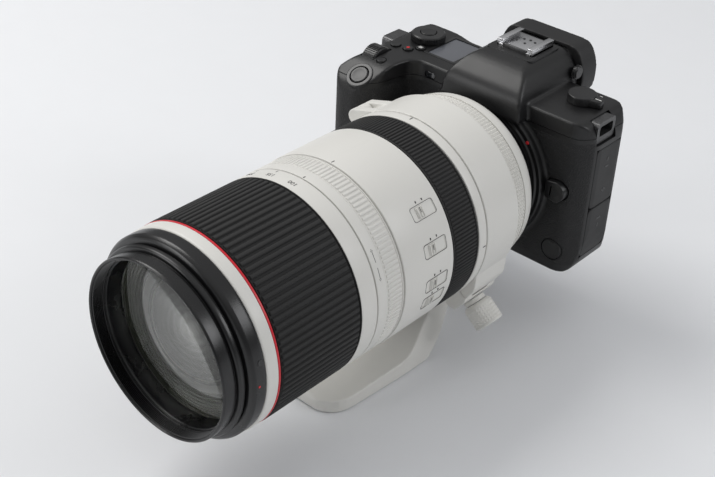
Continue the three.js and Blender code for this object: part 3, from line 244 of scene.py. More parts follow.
def round_edges(bm, width, segments=2, angle=30):
    sharp = [e for e in bm.edges if e.is_manifold and e.calc_face_angle() > math.radians(angle)]
    bmesh.ops.bevel(bm, geom=sharp, offset=width, offset_type="OFFSET", segments=segments,
                    affect="EDGES", profile=0.5, material=-1, clamp_overlap=True)
    return bm


def knob(radius, height, edge=0.5, dish=0.0, sides=SMALL):
    """A disc standing on z = 0, with a rounded edge and a dished or crowned top."""
    profile = [(0, 0), (radius, 0), (radius, height, edge * 1.2),
               (radius - edge * 2.4, height - dish * 0.3), (0, height - dish)]
    bm = bmesh.new()
    points = fillet(profile, 4)
    verts = [bm.verts.new((p.x, 0, p.y)) for p in points]
    edges = [bm.edges.new((verts[i - 1], verts[i])) for i in range(1, len(verts))]
    bmesh.ops.spin(bm, geom=verts + edges, cent=(0, 0, 0), axis=(0, 0, 1),
                   angle=2 * math.pi, steps=sides, use_merge=True)
    return tidy(bm)


def place(bm, at=(0, 0, 0), turn=None):
    """Turns a mesh by (degrees, axis) and moves it to a point."""
    if turn:
        rotation = Matrix.Rotation(math.radians(turn[0]), 4, turn[1])
        bmesh.ops.transform(bm, matrix=rotation, verts=bm.verts)
    bmesh.ops.translate(bm, vec=at, verts=bm.verts)
    return bm


def polar(angle, radius):
    """(x, z) of a point round the lens axis, from +X towards +Z."""
    return radius * math.cos(math.radians(angle)), radius * math.sin(math.radians(angle))


def joined(*meshes):
    """One mesh of several that don't touch or that cut each other."""
    result = bmesh.new()
    for bm in meshes:
        data = bpy.data.meshes.new("joined")
        bm.to_mesh(data)
        bm.free()
        result.from_mesh(data)
        bpy.data.meshes.remove(data)
    return result


def _temporary(bm, name="temporary"):
    data = bpy.data.meshes.new(name)
    bm.to_mesh(data)
    bm.free()
    holder = bpy.data.objects.new(name, data)
    bpy.context.collection.objects.link(holder)
    return holder


def _applied(holder, extras=()):
    """Mesh of an object with its modifiers applied; the object and its helpers are removed."""
    graph = bpy.context.evaluated_depsgraph_get()
    bm = bmesh.new()
    bm.from_object(holder, graph)
    for item in (holder, *extras):
        data = item.data
        bpy.data.objects.remove(item)
        bpy.data.meshes.remove(data)
    return bm


def combine(base, other, operation):
    """Boolean of two meshes: UNION, DIFFERENCE or INTERSECT."""
    holder, tool = _temporary(base), _temporary(other)
    modifier = holder.modifiers.new("cut", "BOOLEAN")
    modifier.object = tool
    modifier.operation = operation
    modifier.solver = "EXACT"
    bpy.context.view_layer.update()
    return _applied(holder, (tool,))


def minus(base, *tools):
    for tool in tools:
        base = combine(base, tool, "DIFFERENCE")
    return base


def plus(base, *others):
    for other in others:
        base = combine(base, other, "UNION")
    return base


def common(base, *others):
    for other in others:
        base = combine(base, other, "INTERSECT")
    return base


def cast(bm, voxel, passes, factor=0.5):
    """Remeshes a joined shape and smooths it, so that its corners flow like a casting's."""
    holder = _temporary(bm)
    remesh = holder.modifiers.new("skin", "REMESH")
    remesh.mode = "VOXEL"
    remesh.voxel_size = voxel
    relax = holder.modifiers.new("relax", "SMOOTH")
    relax.factor = factor
    relax.iterations = passes
    bpy.context.view_layer.update()
    return _applied(holder)


def finish_piece(name, bm, body, materials, nodes=(), sharp=38, pick=None):
    """Makes a mesh a finished piece: in metres, in place, with its material and body."""
    bmesh.ops.transform(bm, matrix=TO_METRES, verts=bm.verts)
    for edge in bm.edges:
        edge.smooth = not (edge.is_manifold and edge.calc_face_angle(0) > math.radians(sharp))
    for face in bm.faces:
        face.smooth = True
    data = bpy.data.meshes.new(name)
    bm.to_mesh(data)
    bm.free()
    for item in materials if isinstance(materials, (list, tuple)) else [materials]:
        data.materials.append(item)
    if pick:
        for face in data.polygons:
            face.material_index = pick((face.center - ORIGIN) / MM, face.normal)
    piece = bpy.data.objects.new(name, data)
    bpy.context.collection.objects.link(piece)
    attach(piece, body)
    if nodes:
        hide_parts(*nodes)
    return piece


# ------------------------------------------------------------------ shader groups

def new_group(name, inputs, outputs):
    """An empty shader group with its sockets; returns the group and its two end nodes."""
    group = bpy.data.node_groups.new(name, "ShaderNodeTree")
    for label, kind, default in inputs:
        socket = group.interface.new_socket(name=label, in_out="INPUT", socket_type=kind)
        if default is not None:
            socket.default_value = default
    for label, kind in outputs:
        group.interface.new_socket(name=label, in_out="OUTPUT", socket_type=kind)
    return group, group.nodes.new("NodeGroupInput"), group.nodes.new("NodeGroupOutput")


def math_node(tree, operation, first, second):
    node = tree.nodes.new("ShaderNodeMath")
    node.operation = operation
    for socket, value in zip(node.inputs, (first, second)):
        if isinstance(value, (int, float)):
            socket.default_value = value
        else:
            tree.links.new(value, socket)
    return node.outputs[0]


def grain_group(kind):
    """Height and shade of a surface grain: pores of paint, pebbles of rubber or brushed lines."""
    name = "grain_" + kind
    if name in bpy.data.node_groups:
        return bpy.data.node_groups[name]
    group, start, end = new_group(
        name, [("Grain size", "NodeSocketFloat", 0.0005)],
        [("Height", "NodeSocketFloat"), ("Shade", "NodeSocketFloat")])
    place_node = group.nodes.new("ShaderNodeTexCoord")
    frequency = math_node(group, "DIVIDE", 1.0, start.outputs["Grain size"])
    if kind == "pebble":
        cells = group.nodes.new("ShaderNodeTexVoronoi")
        cells.feature = "SMOOTH_F1"
        cells.inputs["Smoothness"].default_value = 0.35
        group.links.new(place_node.outputs["Object"], cells.inputs["Vector"])
        group.links.new(frequency, cells.inputs["Scale"])
        height = math_node(group, "SUBTRACT", 1.0, cells.outputs["Distance"])
    else:
        noise = group.nodes.new("ShaderNodeTexNoise")
        noise.inputs["Detail"].default_value = 3.0 if kind == "pores" else 5.0
        noise.inputs["Roughness"].default_value = 0.6
        source = place_node.outputs["Object"]
        if kind == "brushed":
            stretch = group.nodes.new("ShaderNodeMapping")
            stretch.inputs["Scale"].default_value = (0.06, 1.0, 1.0)
            group.links.new(source, stretch.inputs["Vector"])
            source = stretch.outputs["Vector"]
        group.links.new(source, noise.inputs["Vector"])
        group.links.new(frequency, noise.inputs["Scale"])
        height = noise.outputs["Fac"]
    group.links.new(height, end.inputs["Height"])
    cloud = group.nodes.new("ShaderNodeTexNoise")
    cloud.inputs["Scale"].default_value = 55.0
    cloud.inputs["Detail"].default_value = 4.0
    group.links.new(place_node.outputs["Object"], cloud.inputs["Vector"])
    blend = math_node(group, "MULTIPLY", cloud.outputs["Fac"], 0.6)
    fine = math_node(group, "MULTIPLY", height, 0.4)
    group.links.new(math_node(group, "ADD", blend, fine), end.inputs["Shade"])
    return group


def handling_group():
    """A slow mask of touch marks and dust, from 0 on clean places to 1 on handled ones."""
    name = "handling_marks"
    if name in bpy.data.node_groups:
        return bpy.data.node_groups[name]
    group, start, end = new_group(
        name, [("Patch size", "NodeSocketFloat", 0.02)], [("Mask", "NodeSocketFloat")])
    place_node = group.nodes.new("ShaderNodeTexCoord")
    noise = group.nodes.new("ShaderNodeTexNoise")
    noise.inputs["Detail"].default_value = 6.0
    group.links.new(place_node.outputs["Object"], noise.inputs["Vector"])
    group.links.new(math_node(group, "DIVIDE", 1.0, start.outputs["Patch size"]), noise.inputs["Scale"])
    ramp = group.nodes.new("ShaderNodeMapRange")
    ramp.inputs["From Min"].default_value = 0.42
    ramp.inputs["From Max"].default_value = 0.68
    group.links.new(noise.outputs["Fac"], ramp.inputs["Value"])
    group.links.new(ramp.outputs["Result"], end.inputs["Mask"])
    return group


def edge_wear_and_highlight_group():
    """A thin mask on exposed edges, broken up by noise; it marks scuffed edges, and on some finishes painted
    highlights along edges.
    """
    name = "edge_wear"
    if name in bpy.data.node_groups:
        return bpy.data.node_groups[name]
    group, start, end = new_group(
        name, [("Amount", "NodeSocketFloat", 0.5)], [("Mask", "NodeSocketFloat")])
    shape = group.nodes.new("ShaderNodeNewGeometry")
    ramp = group.nodes.new("ShaderNodeMapRange")
    ramp.inputs["From Min"].default_value = 0.53
    ramp.inputs["From Max"].default_value = 0.62
    group.links.new(shape.outputs["Pointiness"], ramp.inputs["Value"])
    place_node = group.nodes.new("ShaderNodeTexCoord")
    noise = group.nodes.new("ShaderNodeTexNoise")
    noise.inputs["Scale"].default_value = 900.0
    noise.inputs["Detail"].default_value = 4.0
    group.links.new(place_node.outputs["Object"], noise.inputs["Vector"])
    broken = math_node(group, "MULTIPLY", ramp.outputs["Result"], noise.outputs["Fac"])
    group.links.new(math_node(group, "MULTIPLY", broken, start.outputs["Amount"]), end.inputs["Mask"])
    return group


def add_group(tree, group, **values):
    node = tree.nodes.new("ShaderNodeGroup")
    node.node_tree = group
    for label, value in values.items():
        node.inputs[label.replace("_", " ").capitalize()].default_value = value
    return node


def surface(name, base, roughness, grain="pores", grain_mm=0.25, bump=0.08, metallic=0.0,
            contrast=0.12, edge_wear_and_highlight=0.0, edge_wear_and_highlight_colour=None, coat=0.0, polish=0.0, specular=0.5):
    """A painted, moulded or machined surface with grain, touch marks and scuffed edges; on some finishes the
    lighter edge colour is a painted highlight.
    """
    if name in bpy.data.materials:
        return bpy.data.materials[name]
    made = bpy.data.materials.new(name)
    made.use_nodes = True
    tree = made.node_tree
    shader = tree.nodes["Principled BSDF"]
    shader.inputs["Metallic"].default_value = metallic
    shader.inputs["Specular IOR Level"].default_value = specular
    shader.inputs["Coat Weight"].default_value = coat
    shader.inputs["Coat Roughness"].default_value = 0.08
    texture = add_group(tree, grain_group(grain), grain_size=grain_mm * MM)
    dark = [c * (1 - contrast) for c in base]
    light = [min(1.0, c * (1 + contrast)) for c in base]
    tint = tree.nodes.new("ShaderNodeMix")
    tint.data_type = "RGBA"
    tint.inputs["A"].default_value = (*dark, 1)
    tint.inputs["B"].default_value = (*light, 1)
    tree.links.new(texture.outputs["Shade"], tint.inputs["Factor"])
    colour_out = tint.outputs["Result"]
    # Edge colour: scuffing on most finishes, a painted highlight on the ring rubber and partly on the
    # anodised black.
    if edge_wear_and_highlight:
        mask = add_group(tree, edge_wear_and_highlight_group(), amount=edge_wear_and_highlight)
        edge_wear_and_highlight_tint = tree.nodes.new("ShaderNodeMix")
        edge_wear_and_highlight_tint.data_type = "RGBA"
        edge_wear_and_highlight_tint.inputs["B"].default_value = (*(edge_wear_and_highlight_colour or [c * 2 + 0.05 for c in base]), 1)
        tree.links.new(mask.outputs["Mask"], edge_wear_and_highlight_tint.inputs["Factor"])
        tree.links.new(colour_out, edge_wear_and_highlight_tint.inputs["A"])
        colour_out = edge_wear_and_highlight_tint.outputs["Result"]
    tree.links.new(colour_out, shader.inputs["Base Color"])
    marks = add_group(tree, handling_group(), patch_size=0.018)
    gloss = tree.nodes.new("ShaderNodeMapRange")
    gloss.inputs["To Min"].default_value = roughness
    gloss.inputs["To Max"].default_value = max(0.03, roughness - polish if polish else roughness * 1.12)
    tree.links.new(marks.outputs["Mask"], gloss.inputs["Value"])
    tree.links.new(gloss.outputs["Result"], shader.inputs["Roughness"])
    relief = tree.nodes.new("ShaderNodeBump")
    relief.inputs["Strength"].default_value = bump
    relief.inputs["Distance"].default_value = grain_mm * MM * 0.5
    tree.links.new(texture.outputs["Height"], relief.inputs["Height"])
    tree.links.new(relief.outputs["Normal"], shader.inputs["Normal"])
    return made


# ------------------------------------------------------------------ finishes

def white_paint():
    return surface("white_lens_paint", settings().lens.white, 0.42, grain_mm=0.28, bump=0.10,
                   contrast=0.035, edge_wear_and_highlight=0.10, edge_wear_and_highlight_colour=(0.45, 0.45, 0.43), polish=0.06)


def red_paint():
    return surface("red_ring_paint", settings().lens.red, 0.34, grain_mm=0.2, bump=0.05, contrast=0.06)


def anodised():
    # The lighter edge colour is partly scuffing and partly a painted highlight along the barrel's edges.
    return surface("anodised_black", settings().lens.black, 0.27, grain="brushed", grain_mm=0.12,
                   bump=0.05, contrast=0.2, edge_wear_and_highlight=0.2, edge_wear_and_highlight_colour=(0.06, 0.06, 0.065), specular=0.5)


def baffle_black():
    return surface("baffle_black", (0.040, 0.044, 0.024), 0.40, grain_mm=0.2, bump=0.05, contrast=0.2)


def ring_rubber():
    # The lighter edge colour here is a painted highlight: it draws the thin light lines along the edges of
    # the ribs.
    return surface("ring_rubber", settings().lens.rubber, 0.38, grain_mm=0.18, bump=0.10, contrast=0.2,
                   edge_wear_and_highlight=0.5, edge_wear_and_highlight_colour=(0.07, 0.07, 0.073), polish=0.06, specular=0.45)


def body_paint():
    return surface("body_crinkle_paint", settings().body.shell, 0.36, grain_mm=0.20, bump=0.25,
                   contrast=0.12, edge_wear_and_highlight=0.15, edge_wear_and_highlight_colour=(0.05, 0.05, 0.05), specular=0.45)


def leather():
    return surface("grip_leather", settings().body.leather, 0.62, grain="pebble",
                   grain_mm=settings().body.pebble, bump=0.75, contrast=0.25)


def control_black():
    return surface("control_black", (0.009, 0.009, 0.0095), 0.3, grain_mm=0.15, bump=0.10,
                   contrast=0.15, edge_wear_and_highlight=0.3, edge_wear_and_highlight_colour=(0.08, 0.08, 0.08))


def soft_rubber():
    return surface("soft_rubber", (0.009, 0.009, 0.0095), 0.55, grain_mm=0.22, bump=0.15, contrast=0.2)


def bright_steel():
    return surface("bright_steel", (0.60, 0.60, 0.61), 0.26, grain="brushed", grain_mm=0.14,
                   bump=0.08, metallic=1.0, contrast=0.08, polish=0.05)


def black_metal():
    return surface("black_metal", (0.03, 0.03, 0.032), 0.32, grain="brushed", grain_mm=0.15,
                   bump=0.08, metallic=0.6, contrast=0.2, edge_wear_and_highlight=0.5, edge_wear_and_highlight_colour=(0.3, 0.3, 0.3))


def dark_mark():
    return surface("dark_mark", (0.035, 0.035, 0.036), 0.5, grain_mm=0.2, bump=0.04, contrast=0.15)


def light_mark():
    return surface("light_mark", (0.72, 0.72, 0.70), 0.5, grain_mm=0.2, bump=0.04, contrast=0.06)


def red_mark():
    return surface("red_mark", (0.55, 0.015, 0.02), 0.45, grain_mm=0.2, bump=0.04, contrast=0.08)


def display_glass():
    return surface("display_glass", (0.010, 0.011, 0.013), 0.07, grain_mm=0.5, bump=0.01,
                   contrast=0.15, coat=0.6, specular=0.6)


def display_field():
    return surface("display_field", (0.115, 0.12, 0.135), 0.2, grain_mm=0.4, bump=0.01, contrast=0.1)


def board_green():
    return surface("board_lacquer", (0.02, 0.11, 0.05), 0.35, grain_mm=1.4, bump=0.15, contrast=0.45)


def cell_case():
    return surface("cell_case", (0.045, 0.046, 0.05), 0.48, grain_mm=0.3, bump=0.12, contrast=0.15)


def coated_glass():
    """Clear glass of the front lens, with a thin green-violet coating tint."""
    name = "coated_glass"
    if name in bpy.data.materials:
        return bpy.data.materials[name]
    made = bpy.data.materials.new(name)
    made.use_nodes = True
    tree = made.node_tree
    shader = tree.nodes["Principled BSDF"]
    shader.inputs["Transmission Weight"].default_value = 1.0
    shader.inputs["IOR"].default_value = 1.52
    shader.inputs["Roughness"].default_value = 0.01
    view_tint = tree.nodes.new("ShaderNodeLayerWeight")
    view_tint.inputs["Blend"].default_value = 0.35
    tint = tree.nodes.new("ShaderNodeMix")
    tint.data_type = "RGBA"
    tint.inputs["A"].default_value = (0.99, 0.99, 0.975, 1)
    tint.inputs["B"].default_value = (0.93, 0.95, 0.91, 1)
    tree.links.new(view_tint.outputs["Facing"], tint.inputs["Factor"])
    tree.links.new(tint.outputs["Result"], shader.inputs["Base Color"])
    return made


def element_coating(name, base, roughness):
    """Bright face of a lens group behind the front glass, with faint rings from edge to edge."""
    if name in bpy.data.materials:
        return bpy.data.materials[name]
    made = surface(name, base, roughness, grain_mm=3.0, bump=0.0, metallic=0.9, contrast=0.03)
    tree = made.node_tree
    shader = tree.nodes["Principled BSDF"]
    plain = shader.inputs["Base Color"].links[0].from_socket
    coords = tree.nodes.new("ShaderNodeTexCoord")
    rings = tree.nodes.new("ShaderNodeTexWave")
    rings.wave_type = "RINGS"
    rings.rings_direction = "Y"
    rings.inputs["Scale"].default_value = 95.0
    centre = tree.nodes.new("ShaderNodeMapping")
    centre.inputs["Location"].default_value = -ORIGIN
    tree.links.new(coords.outputs["Object"], centre.inputs["Vector"])
    tree.links.new(centre.outputs["Vector"], rings.inputs["Vector"])
    shade = tree.nodes.new("ShaderNodeMix")
    shade.data_type = "RGBA"
    shade.inputs["B"].default_value = (0.60, 0.61, 0.57, 1)
    tree.links.new(math_node(tree, "MULTIPLY", rings.outputs["Fac"], 0.45), shade.inputs["Factor"])
    tree.links.new(plain, shade.inputs["A"])
    tree.links.new(shade.outputs["Result"], shader.inputs["Base Color"])
    return made


def outer_group_glass():
    return element_coating("outer_group_glass", (0.66, 0.68, 0.63), 0.30)


def inner_group_glass():
    return element_coating("inner_group_glass", (0.98, 0.98, 0.97), 0.24)


# ------------------------------------------------------------------ front of the lens

def filter_thread(radius, front, back, turns=7):
    """Corners of a fine thread inside the rim, from the front backwards."""
    pitch = (back - front) / turns
    corners = []
    for k in range(turns):
        corners.append((radius, front + pitch * (k + 0.25)))
        corners.append((radius - 0.45, front + pitch * (k + 0.6)))
    return corners


def make_front_barrel():
    back = ZOOM_FRONT - 0.6
    step = back - 13.9
    profile = [
        (41.0, back - 7.0), (HEAD_R - 0.5, back - 7.0, 0.3), (HEAD_R - 0.35, back - 8.2, 0.4),
        (HEAD_R - 0.4, step + 1.4, 0.5), (44.7, step + 0.1, 0.4), (43.5, step - 0.5, 0.3),
        (41.4, step - 0.7, 0.2), (41.4, step - 1.3, 0.2), (42.5, step - 1.6, 0.4),
        (42.4, step - 3.6, 0.5), (41.6, step - 4.1, 0.2), (40.2, step - 4.2, 0.1),
        (40.2, step - 4.7, 0.1), (40.7, step - 5.0, 0.25), (40.75, RIM_Y + 0.6, 0.4),
        (40.3, RIM_Y, 0.3), (39.7, RIM_Y, 0.3), (39.3, RIM_Y + 0.5, 0.2),
    ]
    profile += filter_thread(39.3, RIM_Y + 0.7, RIM_Y + 5.6)
    profile += [
        (39.2, RIM_Y + 5.9), (38.6, RIM_Y + 6.1, 0.2), (38.6, RIM_Y + 6.9, 0.1),
        (37.9, RIM_Y + 7.0, 0.2), (37.6, RIM_Y + 8.0, 0.2), (37.6, RIM_Y + 15.5),
        (40.4, back - 5.0), (41.0, back - 6.0),
    ]
    finish_piece("front_barrel", turned(profile, 192), "zoom_head", anodised(),
                 ["zoom_barrel"], sharp=50)
    inner = span("zoom_barrel")
    tube = [(40.2, inner[1].y), (41.8, inner[1].y, 0.3), (41.8, back, 0.1), (40.2, back)]
    finish_piece("sliding_tube", turned(tube), "zoom_head", anodised())
    name_ring = [
        (41.2, back - 1.1), (HEAD_R + 0.15, back - 1.1, 0.2), (HEAD_R + 0.05, back - 6.4, 0.5),
        (HEAD_R - 0.5, back - 6.9, 0.2), (41.2, back - 6.9),
    ]
    finish_piece("name_ring", turned(name_ring, 192), "zoom_head", white_paint())
    red_ring = [(41.2, back), (HEAD_R + 0.25, back, 0.2), (HEAD_R + 0.25, back - 1.0, 0.2),
                (41.2, back - 1.0)]
    finish_piece("red_ring", turned(red_ring, 192), "zoom_head", red_paint())
    plug_angle = 13.7
    plug_y = step + 4.6
    plug = place(knob(1.3, 0.35, 0.12, dish=0.25, sides=24), turn=(90, "Y"))
    place(plug, (HEAD_R - 0.5, plug_y, 0))
    place(plug, turn=(-plug_angle, "Y"))
    finish_piece("hood_screw_plug", plug, "zoom_head", dark_mark())
    dot = place(knob(0.55, 0.3, 0.1, sides=24), turn=(90, "Y"))
    place(dot, (HEAD_R - 0.5, step + 2.9, 0))
    place(dot, turn=(-1.0, "Y"))
    finish_piece("hood_index_dot", dot, "zoom_head", red_mark())


def make_front_glass():
    low, high = span("front_element")
    radius = high.x
    centre = low.y
    finish_piece("front_lens", dome(radius, centre + 6.2, 6.2, 2.6), "zoom_head", coated_glass(),
                 ["front_element"], sharp=60)
    start_y, end_y, steps = centre + 9.6, centre + 20.0, 8
    bowl = []
    for k in range(steps):
        y = start_y + (end_y - start_y) * k / steps
        bowl += [(37.3 - 6.8 * k / steps, y), (37.3 - 6.8 * (k + 0.85) / steps, y + 0.2)]
    bowl += [(30.4, end_y), (39.0, end_y), (39.0, start_y)]
    finish_piece("baffle_cone", turned(bowl, 128), "zoom_head", baffle_black(), sharp=20)
    groups = (
        (30.6, 18.0, 2.2, outer_group_glass()),
        (25.5, 17.6, 4.6, inner_group_glass()),
    )
    for k, (radius, depth, crown, coating) in enumerate(groups):
        lens = dome(radius, centre + depth, crown, 2.5)
        finish_piece("inner_lens_%d" % (k + 1), lens, "zoom_head", coating, sharp=60)
        edge = [(radius - 0.9, centre + depth - 0.35), (radius + 0.5, centre + depth - 0.35, 0.1),
                (radius + 0.5, centre + depth + 2.0), (radius - 0.9, centre + depth + 2.0)]
        finish_piece("inner_lens_edge_%d" % (k + 1), turned(edge, 128), "zoom_head",
                     baffle_black())


def dome(radius, rim_y, crown, thickness, sides=128):
    """A lens bulging towards the front: its face is a shallow curve from the axis to its rim."""
    bm = bmesh.new()
    steps = 16
    outline = [(radius * k / steps, rim_y - crown * (1 - (k / steps) ** 2)) for k in range(steps + 1)]
    outline += [(radius, rim_y + thickness), (0, rim_y + thickness)]
    verts = [bm.verts.new((r, y, 0)) for r, y in outline]
    edges = [bm.edges.new((verts[i - 1], verts[i])) for i in range(1, len(verts))]
    bmesh.ops.spin(bm, geom=verts + edges, cent=(0, 0, 0), axis=(0, 1, 0),
                   angle=2 * math.pi, steps=sides, use_merge=True)
    return tidy(bm)


# ------------------------------------------------------------------ rings

def ribbed(radius, bore, front, back, ribs, height, land=0.16, slope=0.1, lip=0.6):
    """A ring whose outside carries lengthwise ribs between two plain lips."""
    base = radius - height
    profile = [(bore, front), (radius - 0.1, front, 0.15), (radius - 0.1, front + lip, 0.1),
               (base, front + lip + 0.15), (base, back - lip - 0.15), (radius - 0.1, back - lip, 0.1),
               (radius - 0.1, back, 0.15), (bore, back)]
    bm = turned(profile, ribs, 2)
    pitch = 2 * math.pi * radius / ribs
    long_faces = [f for f in bm.faces
                  if abs(f.calc_center_median().y - (front + back) / 2) < 1.0
                  and math.hypot(f.calc_center_median().x, f.calc_center_median().z) > (base + bore) / 2]
    bmesh.ops.inset_individual(bm, faces=long_faces, thickness=pitch * land, depth=0.0,
                               use_even_offset=True)
    bmesh.ops.inset_individual(bm, faces=long_faces, thickness=pitch * slope, depth=height,
                               use_even_offset=True)
    top_edges = {e for f in long_faces for e in f.edges}
    bmesh.ops.bevel(bm, geom=list(top_edges), offset=pitch * 0.11, offset_type="OFFSET", segments=2,
                    affect="EDGES", profile=0.5, material=-1, clamp_overlap=True)
    return tidy(bm)


def numeral(text, height, radius, angle, y, name, body, material, turn=180):
    """A figure on a ring, bent to its radius by being small."""
    curve = bpy.data.curves.new(name, "FONT")
    curve.body = text
    curve.size = height
    curve.align_x = "CENTER"
    curve.align_y = "CENTER"
    curve.extrude = 0.04
    curve.resolution_u = 3
    holder = bpy.data.objects.new(name, curve)
    bpy.context.collection.objects.link(holder)
    bpy.context.view_layer.update()
    bm = bmesh.new()
    bm.from_mesh(holder.to_mesh())
    holder.to_mesh_clear()
    bpy.data.objects.remove(holder)
    place(bm, turn=(turn, "Z"))
    place(bm, (0, y, radius))
    place(bm, turn=(90 - angle, "Y"))
    return finish_piece(name, bm, body, material)


def arc_mark(angle, width, y0, y1, radius, height=0.05):
    """A thin painted bar on a ring; width is round the ring."""
    bar = block((-width / 2, y0, radius - 0.3), (width / 2, y1, radius + height))
    return place(bar, turn=(90 - angle, "Y"))


def make_zoom_ring():
    lens = settings().lens
    band = ZOOM_BACK - 9.4
    sleeve = ribbed(ZOOM_R + 0.05, ZOOM_R - 2.1, ZOOM_FRONT, band - 0.1, lens.zoom_ribs, lens.rib_height,
                    lip=0.2)
    finish_piece("zoom_grip_rubber", sleeve, "zoom_ring", ring_rubber(),
                 ["zoom_ring"], sharp=55)
    scale = [(ZOOM_R - 2.1, band), (ZOOM_R, band, 0.25), (ZOOM_R, ZOOM_BACK, 0.3), (ZOOM_R - 2.1, ZOOM_BACK)]
    finish_piece("zoom_scale_band", turned(scale, 192), "zoom_ring", white_paint())
    figures = ("100", "135", "200", "300", "400", "500")
    for k, text in enumerate(figures):
        angle = ZOOM_INDEX_ANGLE + ZOOM_FIGURE_STEP * k
        numeral(text, 3.1, ZOOM_R, angle, band + 4.2, "zoom_figure_" + text, "zoom_ring",
                dark_mark())
    ticks = [arc_mark(ZOOM_INDEX_ANGLE + ZOOM_FIGURE_STEP * k, 0.35, band + 7.2, ZOOM_BACK - 0.7, ZOOM_R)
             for k in range(1, len(figures))]
    finish_piece("zoom_ticks", joined(*ticks), "zoom_ring", dark_mark())


def make_tension_ring():
    plain = TENSION_FRONT + 5.7
    ring = [(TENSION_R - 2.3, TENSION_FRONT), (TENSION_R, TENSION_FRONT, 0.3), (TENSION_R, plain, 0.25),
            (TENSION_R - 2.3, plain)]
    finish_piece("tension_band", turned(ring, 192), "tension_ring", white_paint(),
                 ["tension_ring"])
    grip = ribbed(TENSION_R, TENSION_R - 2.3, plain + 0.05, TENSION_BACK, settings().lens.tension_ribs,
                  0.5, lip=0.5)
    finish_piece("tension_grip", grip, "tension_ring", white_paint(), sharp=55)
    y = (TENSION_FRONT + plain) / 2
    marks = [arc_mark(ZOOM_INDEX_ANGLE, 0.5, TENSION_FRONT + 0.3, TENSION_FRONT + 1.7, TENSION_R)]
    for angle, direction in ((31.0, 1), (22.0, -1)):
        for k in range(4):
            marks.append(arc_mark(angle + direction * (k - 1.5) * 1.5, 1.25, y - 0.12, y + 0.12, TENSION_R))
        tip = angle + direction * 4.0
        for barb in (y - 0.4, y + 0.4):
            marks.append(arc_mark(tip - direction * 0.7, 0.5, barb - 0.12, barb + 0.12, TENSION_R))
        marks.append(arc_mark(tip, 0.5, y - 0.12, y + 0.12, TENSION_R))
    finish_piece("tension_arrows", joined(*marks), "tension_ring", dark_mark())


def make_focus_ring():
    ring = ribbed(BARREL_R, BARREL_R - 2.6, FOCUS_FRONT, FOCUS_BACK, settings().lens.focus_ribs,
                  0.7, lip=0.7)
    finish_piece("focus_grip_rubber", ring, "focus_ring", ring_rubber(),
                 ["focus_ring"], sharp=55)


def make_control_ring():
    """Ring with a diamond knurl: a grid of faces, each raised to a point."""
    knurl_radius = CONTROL_R - 0.75
    rows = 6
    front, back = CONTROL_FRONT + 1.0, CONTROL_BACK - 1.0
    profile = [(CONTROL_R - 2.6, CONTROL_FRONT), (CONTROL_R - 0.1, CONTROL_FRONT, 0.25),
               (CONTROL_R - 0.1, front)]
    profile += [(knurl_radius, front + (back - front) * k / rows) for k in range(rows + 1)]
    profile += [(CONTROL_R - 0.1, back), (CONTROL_R - 0.1, CONTROL_BACK, 0.25),
                (CONTROL_R - 2.6, CONTROL_BACK)]
    bm = turned(profile, 150, 2)
    outer = [f for f in bm.faces
             if front < f.calc_center_median().y < back
             and math.hypot(f.calc_center_median().x, f.calc_center_median().z) > CONTROL_R - 1.2
             and abs(f.normal.y) < 0.3]
    for face in bmesh.ops.poke(bm, faces=outer, offset=0.0, center_mode="MEAN")["verts"]:
        outwards = Vector((face.co.x, 0, face.co.z)).normalized()
        face.co += outwards * 0.72
    finish_piece("control_knurl", tidy(bm), "control_ring", white_paint(),
                 ["control_ring"], sharp=18)


# ------------------------------------------------------------------ fixed barrel

